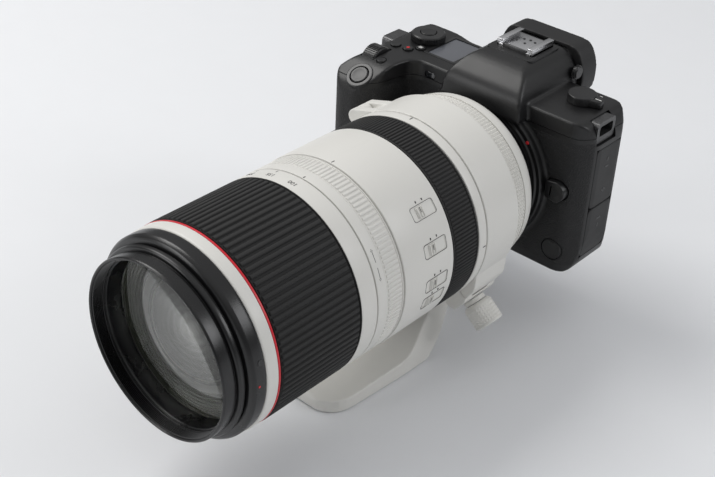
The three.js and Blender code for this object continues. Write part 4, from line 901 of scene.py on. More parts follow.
def make_barrel():
    panel_front, panel_back = TENSION_BACK + 0.6, FOCUS_FRONT - 0.6
    sleeve = [(42.4, span("fixed_barrel")[0].y), (43.7, span("fixed_barrel")[0].y, 0.2),
              (43.7, COLLAR_BACK + 0.3), (42.4, COLLAR_BACK + 0.3)]
    finish_piece("barrel_sleeve", turned(sleeve), "lens", white_paint(), ["fixed_barrel"])
    panel = [(43.5, panel_front), (BARREL_R, panel_front, 0.45), (BARREL_R, panel_back, 0.45),
             (43.5, panel_back)]
    body = minus(turned(panel, 192), *[window(node) for node in SWITCHES])
    finish_piece("switch_panel_band", body, "lens", white_paint())
    rear_front, rear_back = FOCUS_BACK + 0.6, COLLAR_FRONT - 0.6
    band = [(43.5, rear_front), (BARREL_R, rear_front, 0.45), (BARREL_R, rear_back, 0.45), (43.5, rear_back)]
    finish_piece("rear_band", turned(band, 192), "lens", white_paint())
    shoulder = [
        (36.0, CONTROL_BACK + 0.3), (CONTROL_R - 0.7, CONTROL_BACK + 0.3, 0.3),
        (CONTROL_R - 1.0, CONTROL_BACK + 4.3, 1.6), (CONTROL_R - 2.8, CONTROL_BACK + 7.4, 1.2),
        (CONTROL_R - 4.2, CONTROL_BACK + 8.2, 0.5), (36.0, CONTROL_BACK + 8.2),
    ]
    finish_piece("shoulder_band", turned(shoulder, 192), "lens", white_paint())
    tail_y = CONTROL_BACK + 8.2
    tail = [(30.0, tail_y), (37.6, tail_y, 0.2), (37.6, tail_y + 3.2, 0.4), (36.8, tail_y + 3.6, 0.2),
            (36.8, tail_y + 4.2, 0.2), (36.0, -3.5, 0.3), (30.0, -3.5)]
    finish_piece("tail_ring", turned(tail), "lens", anodised())
    control_seat = oblong(38.0, COLLAR_BACK + 0.2, 40.6, CONTROL_BACK + 0.4)
    finish_piece("control_seat", turned(control_seat, 96), "lens", anodised())
    dot = place(knob(0.85, 0.7, 0.3, sides=24), (0, tail_y + 1.8, 37.1))
    place(dot, turn=(90 - MOUNT_INDEX_ANGLE, "Y"))
    finish_piece("mount_index_dot", dot, "lens", red_mark())
    ticks = [arc_mark(angle, 0.5, rear_back - 2.6, rear_back - 0.5, BARREL_R, 0.04) for angle in (90, 0)]
    ticks.append(arc_mark(88, 0.45, panel_front + 0.4, panel_front + 2.4, BARREL_R, 0.04))
    finish_piece("barrel_index_marks", joined(*ticks), "lens", dark_mark())


SWITCHES = ("focus_limit_switch", "focus_mode_switch", "stabiliser_switch", "stabiliser_mode_switch")
SWITCH_TRAVEL = 4.0  # along the lens, from the front stop


def switch_place(node):
    """Angle of a switch round the lens, and its middle along the lens, at its front stop."""
    low, high = span(node)
    middle = (low + high) / 2
    return math.degrees(math.atan2(middle.z, middle.x)), middle.y


def window(node):
    """Cutter of the shallow window that a switch slides in."""
    angle, y = switch_place(node)
    return place(rounded_plate(3.1, 7.0, 1.2, y + SWITCH_TRAVEL / 2, BARREL_R - 0.35, BARREL_R + 3),
                 turn=(90 - angle, "Y"))


def make_switches():
    labels = []
    for node in SWITCHES:
        angle, y = switch_place(node)
        turn = (90 - angle, "Y")
        slider = block((-2.45, y - 2.2, BARREL_R - 0.9), (2.45, y + 2.2, BARREL_R + 0.2), 0.3)
        ridges = [block((-2.3, y + step - 0.3, BARREL_R), (2.3, y + step + 0.3, BARREL_R + 0.75), 0.2)
                  for step in (-1.5, 0.0, 1.5)]
        finish_piece(node + "_slider", place(joined(slider, *ridges), turn=turn), node,
                     white_paint(), [node])
        line = block((-2.2, y - 0.18, BARREL_R + 0.3), (0.3, y + 0.18, BARREL_R + 0.79))
        finish_piece(node + "_line", place(line, turn=turn), node, dark_mark())
        middle = y + SWITCH_TRAVEL / 2
        frame_line = minus(
            rounded_plate(3.35, 7.35, 1.5, middle, BARREL_R - 0.2, BARREL_R + 0.04),
            rounded_plate(3.15, 7.15, 1.35, middle, BARREL_R - 1.0, BARREL_R + 1.0))
        labels.append(place(frame_line, turn=turn))
        for stop in (y, y + SWITCH_TRAVEL):
            tick = block((-5.1, stop - 0.22, BARREL_R - 0.3), (-4.1, stop + 0.22, BARREL_R))
            labels.append(place(tick, turn=turn))
    finish_piece("switch_frames", joined(*labels), "lens", dark_mark())


def rounded_plate(half_width, half_length, corner, y, z0, z1):
    return slab(oblong(-half_width, y - half_length, half_width, y + half_length, corner), "z", z0, z1)


# ------------------------------------------------------------------ collar and foot

CLAMP_ANGLE = -40.0  # round the lens, of the slot between the collar's halves
HINGE_ANGLE = 137.3  # round the lens, of the hinge opposite it
CLAMP_FACE = 53.3  # from the lens axis to the face that the clamp's neck stands on
COLLAR_BORE = 44.2  # radius
COLLAR_OUTSIDE = 47.1  # radius
KNUCKLE = 5.0  # length of one of the hinge's three knuckles
PIN_ROOM = 4.2  # radius of the room cut for a knuckle of the other half


def turned_frame(angle):
    """Maps (outwards, across) at an angle round the lens to (x, z)."""
    c, s = math.cos(math.radians(angle)), math.sin(math.radians(angle))
    return lambda d, t, *rounding: (d * c - t * s, d * s + t * c, *rounding)


def upper_share(grow):
    """Slab that holds the collar's upper half, from the clamp slot over the top to the hinge."""
    clamp, hinge = turned_frame(CLAMP_ANGLE), turned_frame(HINGE_ANGLE)
    far = 80
    lean = 0.86
    corners = [
        clamp(33, -2.7 - grow), clamp(far, -2.7 - grow), (far, 24), (far, far), (-32, far),
        hinge(59, 3 + lean * 12 + grow), hinge(30, 3 - lean * 17 + grow),
    ]
    return slab([c[:2] for c in corners], "y", COLLAR_FRONT - 2, COLLAR_BACK + 2)


def collar_hinge():
    """(x, z) of the hinge's axis, and where its first knuckle starts along the lens."""
    low, high = span("collar_hinge_pin")
    return (low.x + high.x) / 2, (low.z + high.z) / 2, low.y - 0.8


def knuckle(side, start, end):
    hinge = turned_frame(HINGE_ANGLE)
    x, z, _ = collar_hinge()
    barrel = place(rod(3.8, start, end, 0.3), (x, 0, z))
    leaf = [hinge(46.3, 0), hinge(52.1, side * 1.8), hinge(46.1, side * 12), hinge(45.0, side * 11),
            hinge(45.0, side * 4.5)]
    return plus(barrel, slab([c[:2] for c in leaf], "y", start, end))


def collar_parts():
    """The two halves as rough solids, before they are smoothed."""
    clamp = turned_frame(CLAMP_ANGLE)
    y0, y1 = COLLAR_FRONT, COLLAR_BACK
    band = oblong(COLLAR_BORE, y0, COLLAR_OUTSIDE, y1)
    lower_boss = [clamp(38, -15.5), clamp(50.3, -15.5, 2), clamp(CLAMP_FACE, -13.5, 1),
                  clamp(CLAMP_FACE, -5, 1.5), clamp(52.1, -2.7), clamp(38, -2.7)]
    upper_boss = [clamp(38, -2.3), clamp(51.9, -2.3), clamp(50.7, 6, 2), clamp(45.7, 12.5), clamp(38, 12.5)]
    return band, slab(lower_boss, "y", y0, y1), slab(upper_boss, "y", y0, y1)


def make_collar_top():
    band, lower, upper = collar_parts()
    lower.free()
    half = common(turned(band, 200), upper_share(0))
    half = plus(half, upper)
    x, z, start = collar_hinge()
    room_start, room_end = start + KNUCKLE - 0.3, start + 2 * KNUCKLE + 0.3
    half = minus(half, place(rod(PIN_ROOM, room_start, room_end), (x, 0, z)))
    half = plus(half, knuckle(-1, start, room_start), knuckle(-1, room_end, start + 3 * KNUCKLE))
    half = minus(half, collar_bore())
    finish_piece("collar_upper_half", cast(half, 0.42, 4), "collar_top", white_paint(),
                 ["collar_top"], sharp=60)
    finish_piece("clamp_tongue", clamp_tongue(), "collar_top", white_paint())


def collar_bore():
    return rod(COLLAR_BORE, -60, -20, sides=200)


def clamp_tongue():
    """Forked plate of the upper half that lies over the clamp's screw."""
    clamp = turned_frame(CLAMP_ANGLE)
    middle = (COLLAR_FRONT + COLLAR_BACK) / 2
    corners = [clamp(48.7, -13.2), clamp(50.7, -13.2), clamp(50.7, 1.3), clamp(48.7, 1.3)]
    plate = slab([c[:2] for c in corners], "y", middle - 5.5, middle + 5.5)
    notch = [clamp(40, -20), clamp(60, -20), clamp(60, -7.2), clamp(40, -7.2)]
    return minus(plate, slab([c[:2] for c in notch], "y", middle - 2.5, middle + 2.5))


def make_collar_base():
    band, lower, upper = collar_parts()
    upper.free()
    half = minus(turned(band, 200), upper_share(0.3))
    stem_back = COLLAR_BACK - 2.5
    plate_top = FOOT_Z + 9.0
    foot_front = span("collar_base")[0].y
    foot_back = foot_front + 66.0
    side = [
        (stem_back, -36), (stem_back - 15, -36), (stem_back - 15, -47.0, 2), (foot_back - 15, plate_top, 7),
        (foot_front + 16, plate_top - 2.0, 6), (foot_front, plate_top - 2.2, 3.4), (foot_front, FOOT_Z, 1.2),
        (foot_back, FOOT_Z, 1.2), (stem_back, -48, 2),
    ]
    front = [(-22.5, FOOT_Z, 1.5), (22.5, FOOT_Z, 1.5), (22.5, plate_top + 1, 5), (16, -47, 4), (16, -35),
             (-16, -35), (-16, -47, 4), (-22.5, plate_top + 1, 5)]
    plan = [(-19, foot_front, 15), (19, foot_front, 15), (22.5, foot_back - 10, 6), (22.5, 0), (-22.5, 0),
            (-22.5, foot_back - 10, 6)]
    foot = common(slab(side, "x", -60, 60), slab(front, "y", -160, 10), slab(plan, "z", -90, -20))
    half = plus(half, lower, foot)
    x, z, start = collar_hinge()
    for a, b in ((start - 1, start + KNUCKLE), (start + 2 * KNUCKLE, start + 3 * KNUCKLE + 0.3)):
        half = minus(half, place(rod(PIN_ROOM, a, b), (x, 0, z)))
    half = plus(half, knuckle(1, start + KNUCKLE, start + 2 * KNUCKLE))
    half = minus(half, collar_bore())
    clamp = turned_frame(CLAMP_ANGLE)
    middle = (COLLAR_FRONT + COLLAR_BACK) / 2
    pocket = [clamp(48.2, -13.7), clamp(51.2, -13.7), clamp(52.6, 0.3), clamp(48.2, 0.3)]
    half = minus(half, slab([c[:2] for c in pocket], "y", middle - 6, middle + 6))
    half = cast(half, 0.46, 5)
    socket_y = foot_front + 24.0
    sockets = [place(rod(r, -1, deep), turn=(90, "X")) for r, deep in ((3.2, 6.0), (2.0, 4.0))]
    place(sockets[0], (0, socket_y, FOOT_Z))
    place(sockets[1], (0, socket_y - 12, FOOT_Z))
    finish_piece("collar_lower_half_and_foot", minus(half, *sockets), "collar", white_paint(),
                 ["collar_base"], sharp=60)
    pin = place(rod(1.6, start + 0.6, start + 14.4, 0.3), (x, 0, z))
    finish_piece("collar_hinge_rod", pin, "collar", bright_steel(), ["collar_hinge_pin"])


def clamp_axis(bm, outwards):
    """Moves a mesh that is turned about Y onto the clamp's axis, its +Y end outwards."""
    clamp = turned_frame(CLAMP_ANGLE)
    x, z = clamp(outwards, -10.0)[:2]
    place(bm, turn=(-90, "Z"))
    place(bm, turn=(-CLAMP_ANGLE, "Y"))
    return place(bm, (x, (COLLAR_FRONT + COLLAR_BACK) / 2, z))


def make_clamp():
    rows, knurl = 5, 7.1
    front, back = 5.0, 13.6
    profile = [(2.6, 2.9), (6.3, 2.9, 0.4), (7.4, 4.4, 0.4), (7.4, front)]
    profile += [(knurl, front + (back - front) * k / rows) for k in range(rows + 1)]
    profile += [(7.4, back), (7.4, 14.2, 0.5), (6.8, 14.9, 0.4), (5.2, 14.9, 0.3), (4.6, 14.5, 0.4),
                (0.01, 14.5), (0.01, 8.0), (2.6, 8.0)]
    body = turned(profile, 30, 2)
    outer = [f for f in body.faces
             if front < f.calc_center_median().y < back and abs(f.normal.y) < 0.3
             and math.hypot(f.calc_center_median().x, f.calc_center_median().z) > 6.9]
    for point in bmesh.ops.poke(body, faces=outer, offset=0.0, center_mode="MEAN")["verts"]:
        point.co += Vector((point.co.x, 0, point.co.z)).normalized() * 0.38
    finish_piece("clamp_knob_grip", clamp_axis(tidy(body), CLAMP_FACE), "collar_knob",
                 white_paint(), ["collar_knob"], sharp=18)
    screw = [(0.01, -5.8), (2.0, -5.8, 0.3), (2.0, 7.6), (0.01, 7.6)]
    finish_piece("clamp_screw_shank", clamp_axis(turned(screw, SMALL), CLAMP_FACE), "collar_screw",
                 bright_steel(), ["collar_screw"])
    neck = [(2.1, 0.35), (5.4, 0.35, 0.3), (5.4, 2.6, 0.3), (2.1, 2.6)]
    finish_piece("clamp_neck", clamp_axis(turned(neck, SMALL), CLAMP_FACE), "collar_screw",
                 white_paint())


# ------------------------------------------------------------------ camera body

def body_form():
    """The moulded body: what its front, plan and side outlines share, with the finder housing."""
    px, gx, gi, fy, ry, gy = PORT_X, GRIP_X, GRIP_INNER_X, FRONT_Y, REAR_Y, GRIP_Y
    front = [
        (gx + 3, BASE_Z, 5), (px - 3, BASE_Z, 4), (px, BASE_Z + 14, 8), (px, TOP_Z - 10, 6),
        (px - 5, TOP_Z, 4), (gx + 9, TOP_Z, 7), (gx + 0.5, TOP_Z - 12, 7), (gx, 0, 14),
        (gx + 0.5, BASE_Z + 16, 10),
    ]
    plan = [
        (px, fy + 8, 5), (px, ry - 4, 4), (px - 7, ry, 3), (gi + 9, ry, 4), (gi - 4, ry + 4, 6),
        (gx + 8, ry + 4, 7), (gx, ry - 9, 8), (gx, gy + 19, 10), (gx + 7, gy, 9), (gi - 10, gy, 6),
        (gi - 4, gy + 9, 4.5), (gi, fy - 3, 3), (gi + 5, fy, 2), (px - 7, fy, 4),
    ]
    side = [
        (gy + 1, BASE_Z + 3, 3), (gy + 6, BASE_Z, 2), (ry + 5, BASE_Z, 2), (ry + 5, TOP_Z, 3),
        (gy + 20, TOP_Z, 3), (gy + 13, TOP_Z - 2.2, 3), (gy, TOP_Z - 11.5, 5),
    ]
    finder_front = [(-24, SEAM_Z), (24, SEAM_Z), (22.5, TOP_Z + 3, 3.5), (15.5, FINDER_Z, 6.5),
                    (-15.5, FINDER_Z, 6.5), (-22.5, TOP_Z + 3, 3.5)]
    finder_side = [(fy - 8, SEAM_Z), (ry + 6, SEAM_Z), (ry + 6, FINDER_Z - 2, 1), (ry + 3, FINDER_Z, 1),
                   (fy + 7, FINDER_Z, 8), (fy - 6, TOP_Z + 4, 5)]
    form = common(slab(front, "y", -60, 60), slab(plan, "z", -60, 60), slab(side, "x", -100, 100))
    finder = common(slab(finder_front, "y", fy - 10, ry + 10), slab(finder_side, "x", -30, 30))
    boss = turned([(0.01, 1.0), (38.6, 1.0), (39.4, FRONT_Y + 4), (0.01, FRONT_Y + 4)])
    boss = minus(boss, block((-50, -5, TOP_Z - 4), (50, 20, 60)))
    return plus(form, finder, boss)


def hollow(node, grow, deeper=(0, 0, 0)):
    """Cutter round a node's box, grown on every side, and further along one direction."""
    low, high = span(node)
    low = Vector(low) - Vector((grow,) * 3)
    high = Vector(high) + Vector((grow,) * 3)
    for axis, reach in enumerate(deeper):
        if reach > 0:
            high[axis] += reach
        else:
            low[axis] += reach
    return block(low, high)


def round_hole(node, axis, radius_extra, depth, length=30.0):
    """Round hole round a button: from its inner end outwards."""
    low, high = span(node)
    middle = (low + high) / 2
    radius = (high.x - low.x) / 2 + radius_extra
    hole = knob(radius, length, 0.01, sides=SMALL)
    if axis == "z":
        return place(hole, (middle.x, middle.y, high.z - depth))
    return place(hole, (middle.x, high.y - depth, middle.z), turn=(-90, "X"))


def slope_frame(bm):
    """Puts a mesh that stands on z = 0 on the sloping top of the grip, where the shutter button is."""
    low, high = span("shutter_button")
    middle = (low + high) / 2
    place(bm, turn=(33, "X"))
    return place(bm, middle)


LEATHER_LOW, LEATHER_HIGH = BASE_Z + 4.5, SEAM_Z - 2.5


def in_leather(at):
    """Where the textured covering lies: grip and front walls beside the mount."""
    if not LEATHER_LOW < at.z < LEATHER_HIGH:
        return False
    if at.y < FRONT_Y + 12:
        clear_of_mount = math.hypot(at.x, at.z) > 41.5 or at.x < GRIP_INNER_X - 2
        return clear_of_mount and at.x < PORT_X - 1
    return at.x < GRIP_X + 1.5 and at.y < REAR_Y - 20


def make_body():
    voxel = settings().body.voxel
    form = cast(body_form(), voxel, 5)
    screen = span("screen_panel")
    hinge = span("screen_hinge")
    cutters = [
        block((screen[0].x - 0.6, screen[0].y - 0.3, screen[0].z - 0.6),
              (screen[1].x + 0.2, REAR_Y + 20, screen[1].z + 0.6), 0.5),
        block((hinge[0].x - 0.5, hinge[0].y - 1.2, hinge[0].z - 0.6),
              (hinge[1].x + 0.8, REAR_Y + 20, hinge[1].z + 0.6), 0.4),
        hollow("battery_door", 0.25, (0, 0, -4)),
        hollow("card_door", 0.25, (-8, 0, 0)),
        hollow("upper_port_cover", 0.25, (8, 0, 0)),
        hollow("lower_port_cover", 0.25, (8, 0, 0)),
        hollow("top_display", 0.9, (0, 0, 8)),
        hollow("strap_lug_port_side", 0.4, (8, 0, 0)),
        hollow("strap_lug_grip_side", 0.4, (-8, 0, 0)),
    ]
    dial_low, dial_high = span("main_dial")
    middle = (dial_low + dial_high) / 2
    wheel_room = place(knob(8.5, 9.2, 0.01), turn=(90, "Y"))
    cutters.append(place(wheel_room, (middle.x - 4.6, middle.y, middle.z)))
    for node in ("mode_button", "multi_function_button", "lock_button", "movie_button", "lamp_button"):
        cutters.append(round_hole(node, "z", 0.35, 3.2))
    for node in ("joystick", "af_start_button", "menu_button"):
        cutters.append(round_hole(node, "y", 0.35, 3.4))
    dial = span("rear_dial")
    dial_middle = (dial[0] + dial[1]) / 2
    well = place(knob(14.5, 20, 0.01, sides=SMOOTH), turn=(-90, "X"))
    cutters.append(place(well, (dial_middle.x, dial[0].y - 0.3, dial_middle.z)))
    cutters.append(slope_frame(place(knob(5.3, 20, 0.01), (0, 0, -1.2))))
    cutters.append(slab(oblong(-39.6, 33.6, -32.8, 37.2, 1.7), "y", -20, FRONT_Y + 0.9))
    cutters.append(slab(release_outline(0.45), "y", -20, FRONT_Y + 2))
    remote = span("remote_cover")
    remote_middle = (remote[0] + remote[1]) / 2
    remote_well = place(knob(5.8, 20, 0.01), turn=(90, "X"))
    cutters.append(place(remote_well, (remote_middle.x, FRONT_Y + 2.1, remote_middle.z)))
    for y in (FRONT_Y + 17.0, FRONT_Y + 29.0):
        cutters.append(place(knob(3.2 if y < 25 else 2.0, 6, 0.01), (0, y, BASE_Z - 1)))
    for cutter in cutters:
        form = minus(form, cutter)
    groove = 0.28
    seam_low, seam_high = SEAM_Z - groove / 2, SEAM_Z + groove / 2
    lid = common(form.copy(), block((-100, -60, seam_high), (100, 80, 90)))
    case = common(form, block((-100, -60, -70), (100, 80, seam_low)))
    paint, grip = body_paint(), leather()
    finish_piece("body_top", lid, "camera_body", paint, ["top_cover"], sharp=42)
    finish_piece("body_case", case, "camera_body", [paint, grip],
                 ["front_cover", "rear_cover", "base_plate", "grip_cover"], sharp=42,
                 pick=lambda at, normal: 1 if in_leather(at) else 0)
    core = block((GRIP_X + 9, FRONT_Y + 8, SEAM_Z - 0.6), (PORT_X - 8, REAR_Y - 4, SEAM_Z + 0.6))
    finish_piece("seam_shadow_core", core, "camera_body", baffle_black())


def make_finder_details():
    low, high = span("eyecup")
    opening = slab(oblong(-16, TOP_Z - 6, 16, TOP_Z + 12.5, 5), "y", low.y - 8, high.y + 8)
    outline = [(low.x + 2.8, low.z, 5), (high.x - 2.8, low.z, 5), (high.x, TOP_Z + 2, 8),
               (high.x - 6, high.z, 5), (low.x + 6, high.z, 5), (low.x, TOP_Z + 2, 8)]
    cup = minus(slab(outline, "y", low.y, high.y), opening)
    finish_piece("eyecup_rubber", cast(cup, 0.5, 8), "camera_body", soft_rubber(),
                 ["eyecup"], sharp=70)
    neck = slab([(-20, TOP_Z - 8, 4), (20, TOP_Z - 8, 4), (18, TOP_Z + 12, 4), (-18, TOP_Z + 12, 4)], "y",
                REAR_Y + 4, low.y + 4)
    well = slab(oblong(-13.5, TOP_Z - 3.5, 13.5, TOP_Z + 10, 4), "y", REAR_Y + 5, low.y + 8)
    finish_piece("eyepiece_frame", minus(neck, well), "camera_body", control_black())
    lens_low, lens_high = span("eyepiece_lens")
    pane = slab(oblong(-13, lens_low.z, 13, lens_high.z, 4), "y", low.y - 0.5, low.y + 1.4)
    finish_piece("eyepiece_glass", round_edges(pane, 0.3), "camera_body", display_glass(),
                 ["eyepiece_lens"])
    shoe_low, shoe_high = span("hot_shoe")
    y0, y1 = shoe_low.y, shoe_high.y
    base = block((-10.5, y0, FINDER_Z - 0.2), (10.5, y1, FINDER_Z + 1.2), 0.25)
    rails = []
    for side in (-1, 1):
        x = side * 10.5
        wall_x, lip_x = x - side * 1.2, x - side * 3.1
        rails.append(block((min(x, wall_x), y0, FINDER_Z), (max(x, wall_x), y1, shoe_high.z - 0.5), 0.15))
        rails.append(block((min(x, lip_x), y0, shoe_high.z - 0.9), (max(x, lip_x), y1, shoe_high.z), 0.2))
    stop = block((-7.0, y0 - 0.1, FINDER_Z), (7.0, y0 + 1.0, FINDER_Z + 2.0), 0.2)
    finish_piece("shoe_rails", joined(base, *rails), "camera_body", bright_steel(), ["hot_shoe"])
    finish_piece("shoe_stop", stop, "camera_body", black_metal())
    contacts = [place(knob(0.75, 0.25, 0.1, sides=20), (x, y0 + y, FINDER_Z + 1.15))
                for x, y in ((0, 8.5), (-3.2, 12.6), (0, 13.4), (3.2, 12.6), (-5.2, 9.0))]
    finish_piece("shoe_contacts", joined(*contacts), "camera_body", black_metal())
    plinth = slab(oblong(-13.5, y0 - 5, 13.5, y1 + 1.5, 2.5), "z", FINDER_Z - 2, FINDER_Z + 0.15)
    finish_piece("shoe_plinth", round_edges(plinth, 0.25), "camera_body", body_paint())


def release_outline(grow):
    """Outline of the lens release button: straight towards the mount, pointed away from it."""
    low, high = span("lens_release_button")
    x0, x1, z0, z1 = low.x - grow, high.x + grow, low.z - grow, high.z + grow
    return [(x0, z0 + 1.0, 1.6), (x1 - 3.6, z0, 2.2), (x1, z0 + 3.4, 2.0), (x1, z1 - 3.4, 2.0),
            (x1 - 3.6, z1, 2.2), (x0, z1 - 1.0, 1.6)]


def make_front_details():
    rings = [(33.4, -0.1), (35.6, -0.1, 0.3), (36.2, 0.9, 0.3), (38.2, 0.9, 0.5), (38.8, 2.6, 0.3),
             (33.4, 2.6)]
    finish_piece("mount_collar", turned(rings, 192), "camera_body", control_black())
    window_pane = slab(oblong(-39.3, 33.9, -33.1, 36.9, 1.5), "y", FRONT_Y + 0.2, FRONT_Y + 1.4)
    finish_piece("focus_lamp_window", round_edges(window_pane, 0.25), "camera_body",
                 display_glass())
    low, high = span("lens_release_button")
    finish_piece("release_cap", round_edges(slab(release_outline(0), "y", low.y, high.y), 0.5, 3),
                 "lens_release_button", control_black(), ["lens_release_button"])
    dimple = slab(release_outline(-2.2), "y", low.y - 0.04, low.y + 0.3)
    finish_piece("release_inlay", dimple, "lens_release_button", soft_rubber())
    low, high = span("remote_cover")
    middle = (low + high) / 2
    flap = place(place(knob(5.4, high.y - low.y, 0.4), turn=(90, "X")), (middle.x, high.y, middle.z))
    tab = block((middle.x - 1.6, low.y - 0.3, middle.z + 3.2),
                (middle.x + 1.6, low.y + 0.5, middle.z + 4.6), 0.3)
    finish_piece("remote_flap", joined(flap, tab), "remote_cover", soft_rubber(), ["remote_cover"])
    x, z = polar(MOUNT_INDEX_ANGLE, 37.2)
    mark = place(place(knob(0.9, 0.5, 0.3, sides=24), turn=(90, "X")), (x, 0.9, z))
    finish_piece("body_index_dot", mark, "camera_body", red_mark())


def make_top_controls():
    cup = knob(4.75, 4.6, 0.7, dish=0.7)
    finish_piece("release_button_top", slope_frame(place(cup, (0, 0, -2.5))), "shutter_button",
                 control_black(), ["shutter_button"])
    collar = minus(knob(7.2, 1.3, 0.45), place(knob(5.25, 6, 0.01), (0, 0, -2)))
    finish_piece("release_button_collar", slope_frame(place(collar, (0, 0, 0.35))), "camera_body",
                 control_black())
    dishes = {"multi_function_button": 0.1, "lock_button": 0.35, "movie_button": 0.1, "lamp_button": 0.35}
    for node, dish in dishes.items():
        low, high = span(node)
        middle = (low + high) / 2
        radius = (high.x - low.x) / 2
        cap = place(knob(radius, high.z - low.z, 0.3, dish=dish), (middle.x, middle.y, low.z))
        finish_piece(node + "_cap", cap, node, control_black(), [node])
    low, high = span("movie_button")
    middle = (low + high) / 2
    dot = place(knob(0.9, 0.1, 0.04, sides=24), (middle.x, middle.y, high.z - 0.04))
    finish_piece("movie_dot", dot, "movie_button", red_mark())
    low, high = span("lamp_button")
    middle = (low + high) / 2
    bars = [block((middle.x - 1.1, middle.y + y - 0.14, high.z - 0.4),
                  (middle.x + 1.1, middle.y + y + 0.14, high.z - 0.1)) for y in (-0.7, 0, 0.7)]
    finish_piece("lamp_symbol", joined(*bars), "lamp_button", light_mark())

    low, high = span("mode_dial")
    middle = (low + high) / 2
    radius, height = (high.x - low.x) / 2, high.z - low.z
    button_radius = (span("mode_button")[1].x - span("mode_button")[0].x) / 2
    dial = knurled(radius, height, button_radius + 0.35, 60, 0.35)
    finish_piece("mode_dial_knurl", place(dial, (middle.x, middle.y, low.z)), "mode_dial",
                 control_black(), ["mode_dial"], sharp=35)
    low_b, high_b = span("mode_button")
    cap = place(knob(button_radius, high_b.z - low_b.z, 0.5, dish=0.5), (middle.x, middle.y, low_b.z))
    finish_piece("mode_button_cap", cap, "mode_button", control_black(), ["mode_button"])

    low, high = span("main_dial")
    middle = (low + high) / 2
    wheel = knurled((high.z - low.z) / 2, high.x - low.x, 0.0, 44, 0.45)
    place(wheel, (0, 0, -(high.x - low.x) / 2))
    place(wheel, turn=(90, "Y"))
    finish_piece("main_dial_wheel", place(wheel, middle), "main_dial", control_black(),
                 ["main_dial"], sharp=35)

    low, high = span("power_lever")
    cx, cy = low.x + 7.0, (low.y + high.y) / 2
    height = high.z - low.z
    hub = place(knob(7.0, height, 0.6, dish=0.4, sides=64), (cx, cy, low.z))
    arm_top = low.z + height * 0.85
    arm = slab([(cx, cy - 5.2), (high.x, cy - 2.1, 1.4), (high.x, cy + 2.1, 1.4), (cx, cy + 5.2)], "z",
               low.z, arm_top)
    finish_piece("power_lever_top", joined(hub, round_edges(arm, 0.35)), "power_lever",
                 control_black(), ["power_lever"])
    line = block((high.x - 4.2, cy - 0.25, arm_top - 0.02), (high.x - 0.8, cy + 0.25, arm_top + 0.06))
    finish_piece("power_lever_line", line, "power_lever", light_mark())
    notes = [block((cx + 9.0 * math.cos(a) - 0.8, cy + 12.0 * math.sin(a) - 0.2, TOP_Z - 0.1),
                   (cx + 9.0 * math.cos(a) + 0.8, cy + 12.0 * math.sin(a) + 0.2, TOP_Z + 0.06))
             for a in (0.62, 1.05)]
    finish_piece("power_lever_notes", joined(*notes), "camera_body", light_mark())

    low, high = span("top_display")
    bezel = minus(plan_plate(low, high, 0.8, 1.6, low.z, TOP_Z + 0.12),
                  plan_plate(low, high, -0.9, 0.9, high.z - 0.3, TOP_Z + 3))
    finish_piece("display_bezel", bezel, "camera_body", control_black(), ["top_display"])
    field = plan_plate(low, high, -1.0, 0.8, high.z - 0.5, high.z - 0.15)
    finish_piece("display_pane", field, "camera_body", display_field())


def plan_plate(low, high, grow, corner, z0, z1):
    """A level plate with the plan of a box, grown on its four sides."""
    return slab(oblong(low.x - grow, low.y - grow, high.x + grow, high.y + grow, corner), "z", z0, z1)


def knurled(radius, height, bore, ribs, depth):
    """A dial standing on z = 0 with upright ribs round its edge."""
    bm = bmesh.new()
    edge = 0.5
    inner = max(bore, 0.01)
    profile = [(inner, 0), (radius - depth, 0), (radius - depth, height - edge),
               (radius - depth - edge, height), (inner, height)]
    verts = [bm.verts.new((r, 0, z)) for r, z in profile]
    edges = [bm.edges.new((verts[i - 1], verts[i])) for i in range(len(verts))]
    bmesh.ops.spin(bm, geom=verts + edges, cent=(0, 0, 0), axis=(0, 0, 1), angle=2 * math.pi, steps=ribs,
                   use_merge=True)
    tidy(bm)
    faces = [f for f in bm.faces if abs(f.normal.z) < 0.2
             and math.hypot(f.calc_center_median().x, f.calc_center_median().y) > (radius + inner) / 2]
    pitch = 2 * math.pi * radius / ribs
    bmesh.ops.inset_individual(bm, faces=faces, thickness=pitch * 0.14, depth=0.0, use_even_offset=True)
    bmesh.ops.inset_individual(bm, faces=faces, thickness=pitch * 0.12, depth=depth, use_even_offset=True)
    return bm


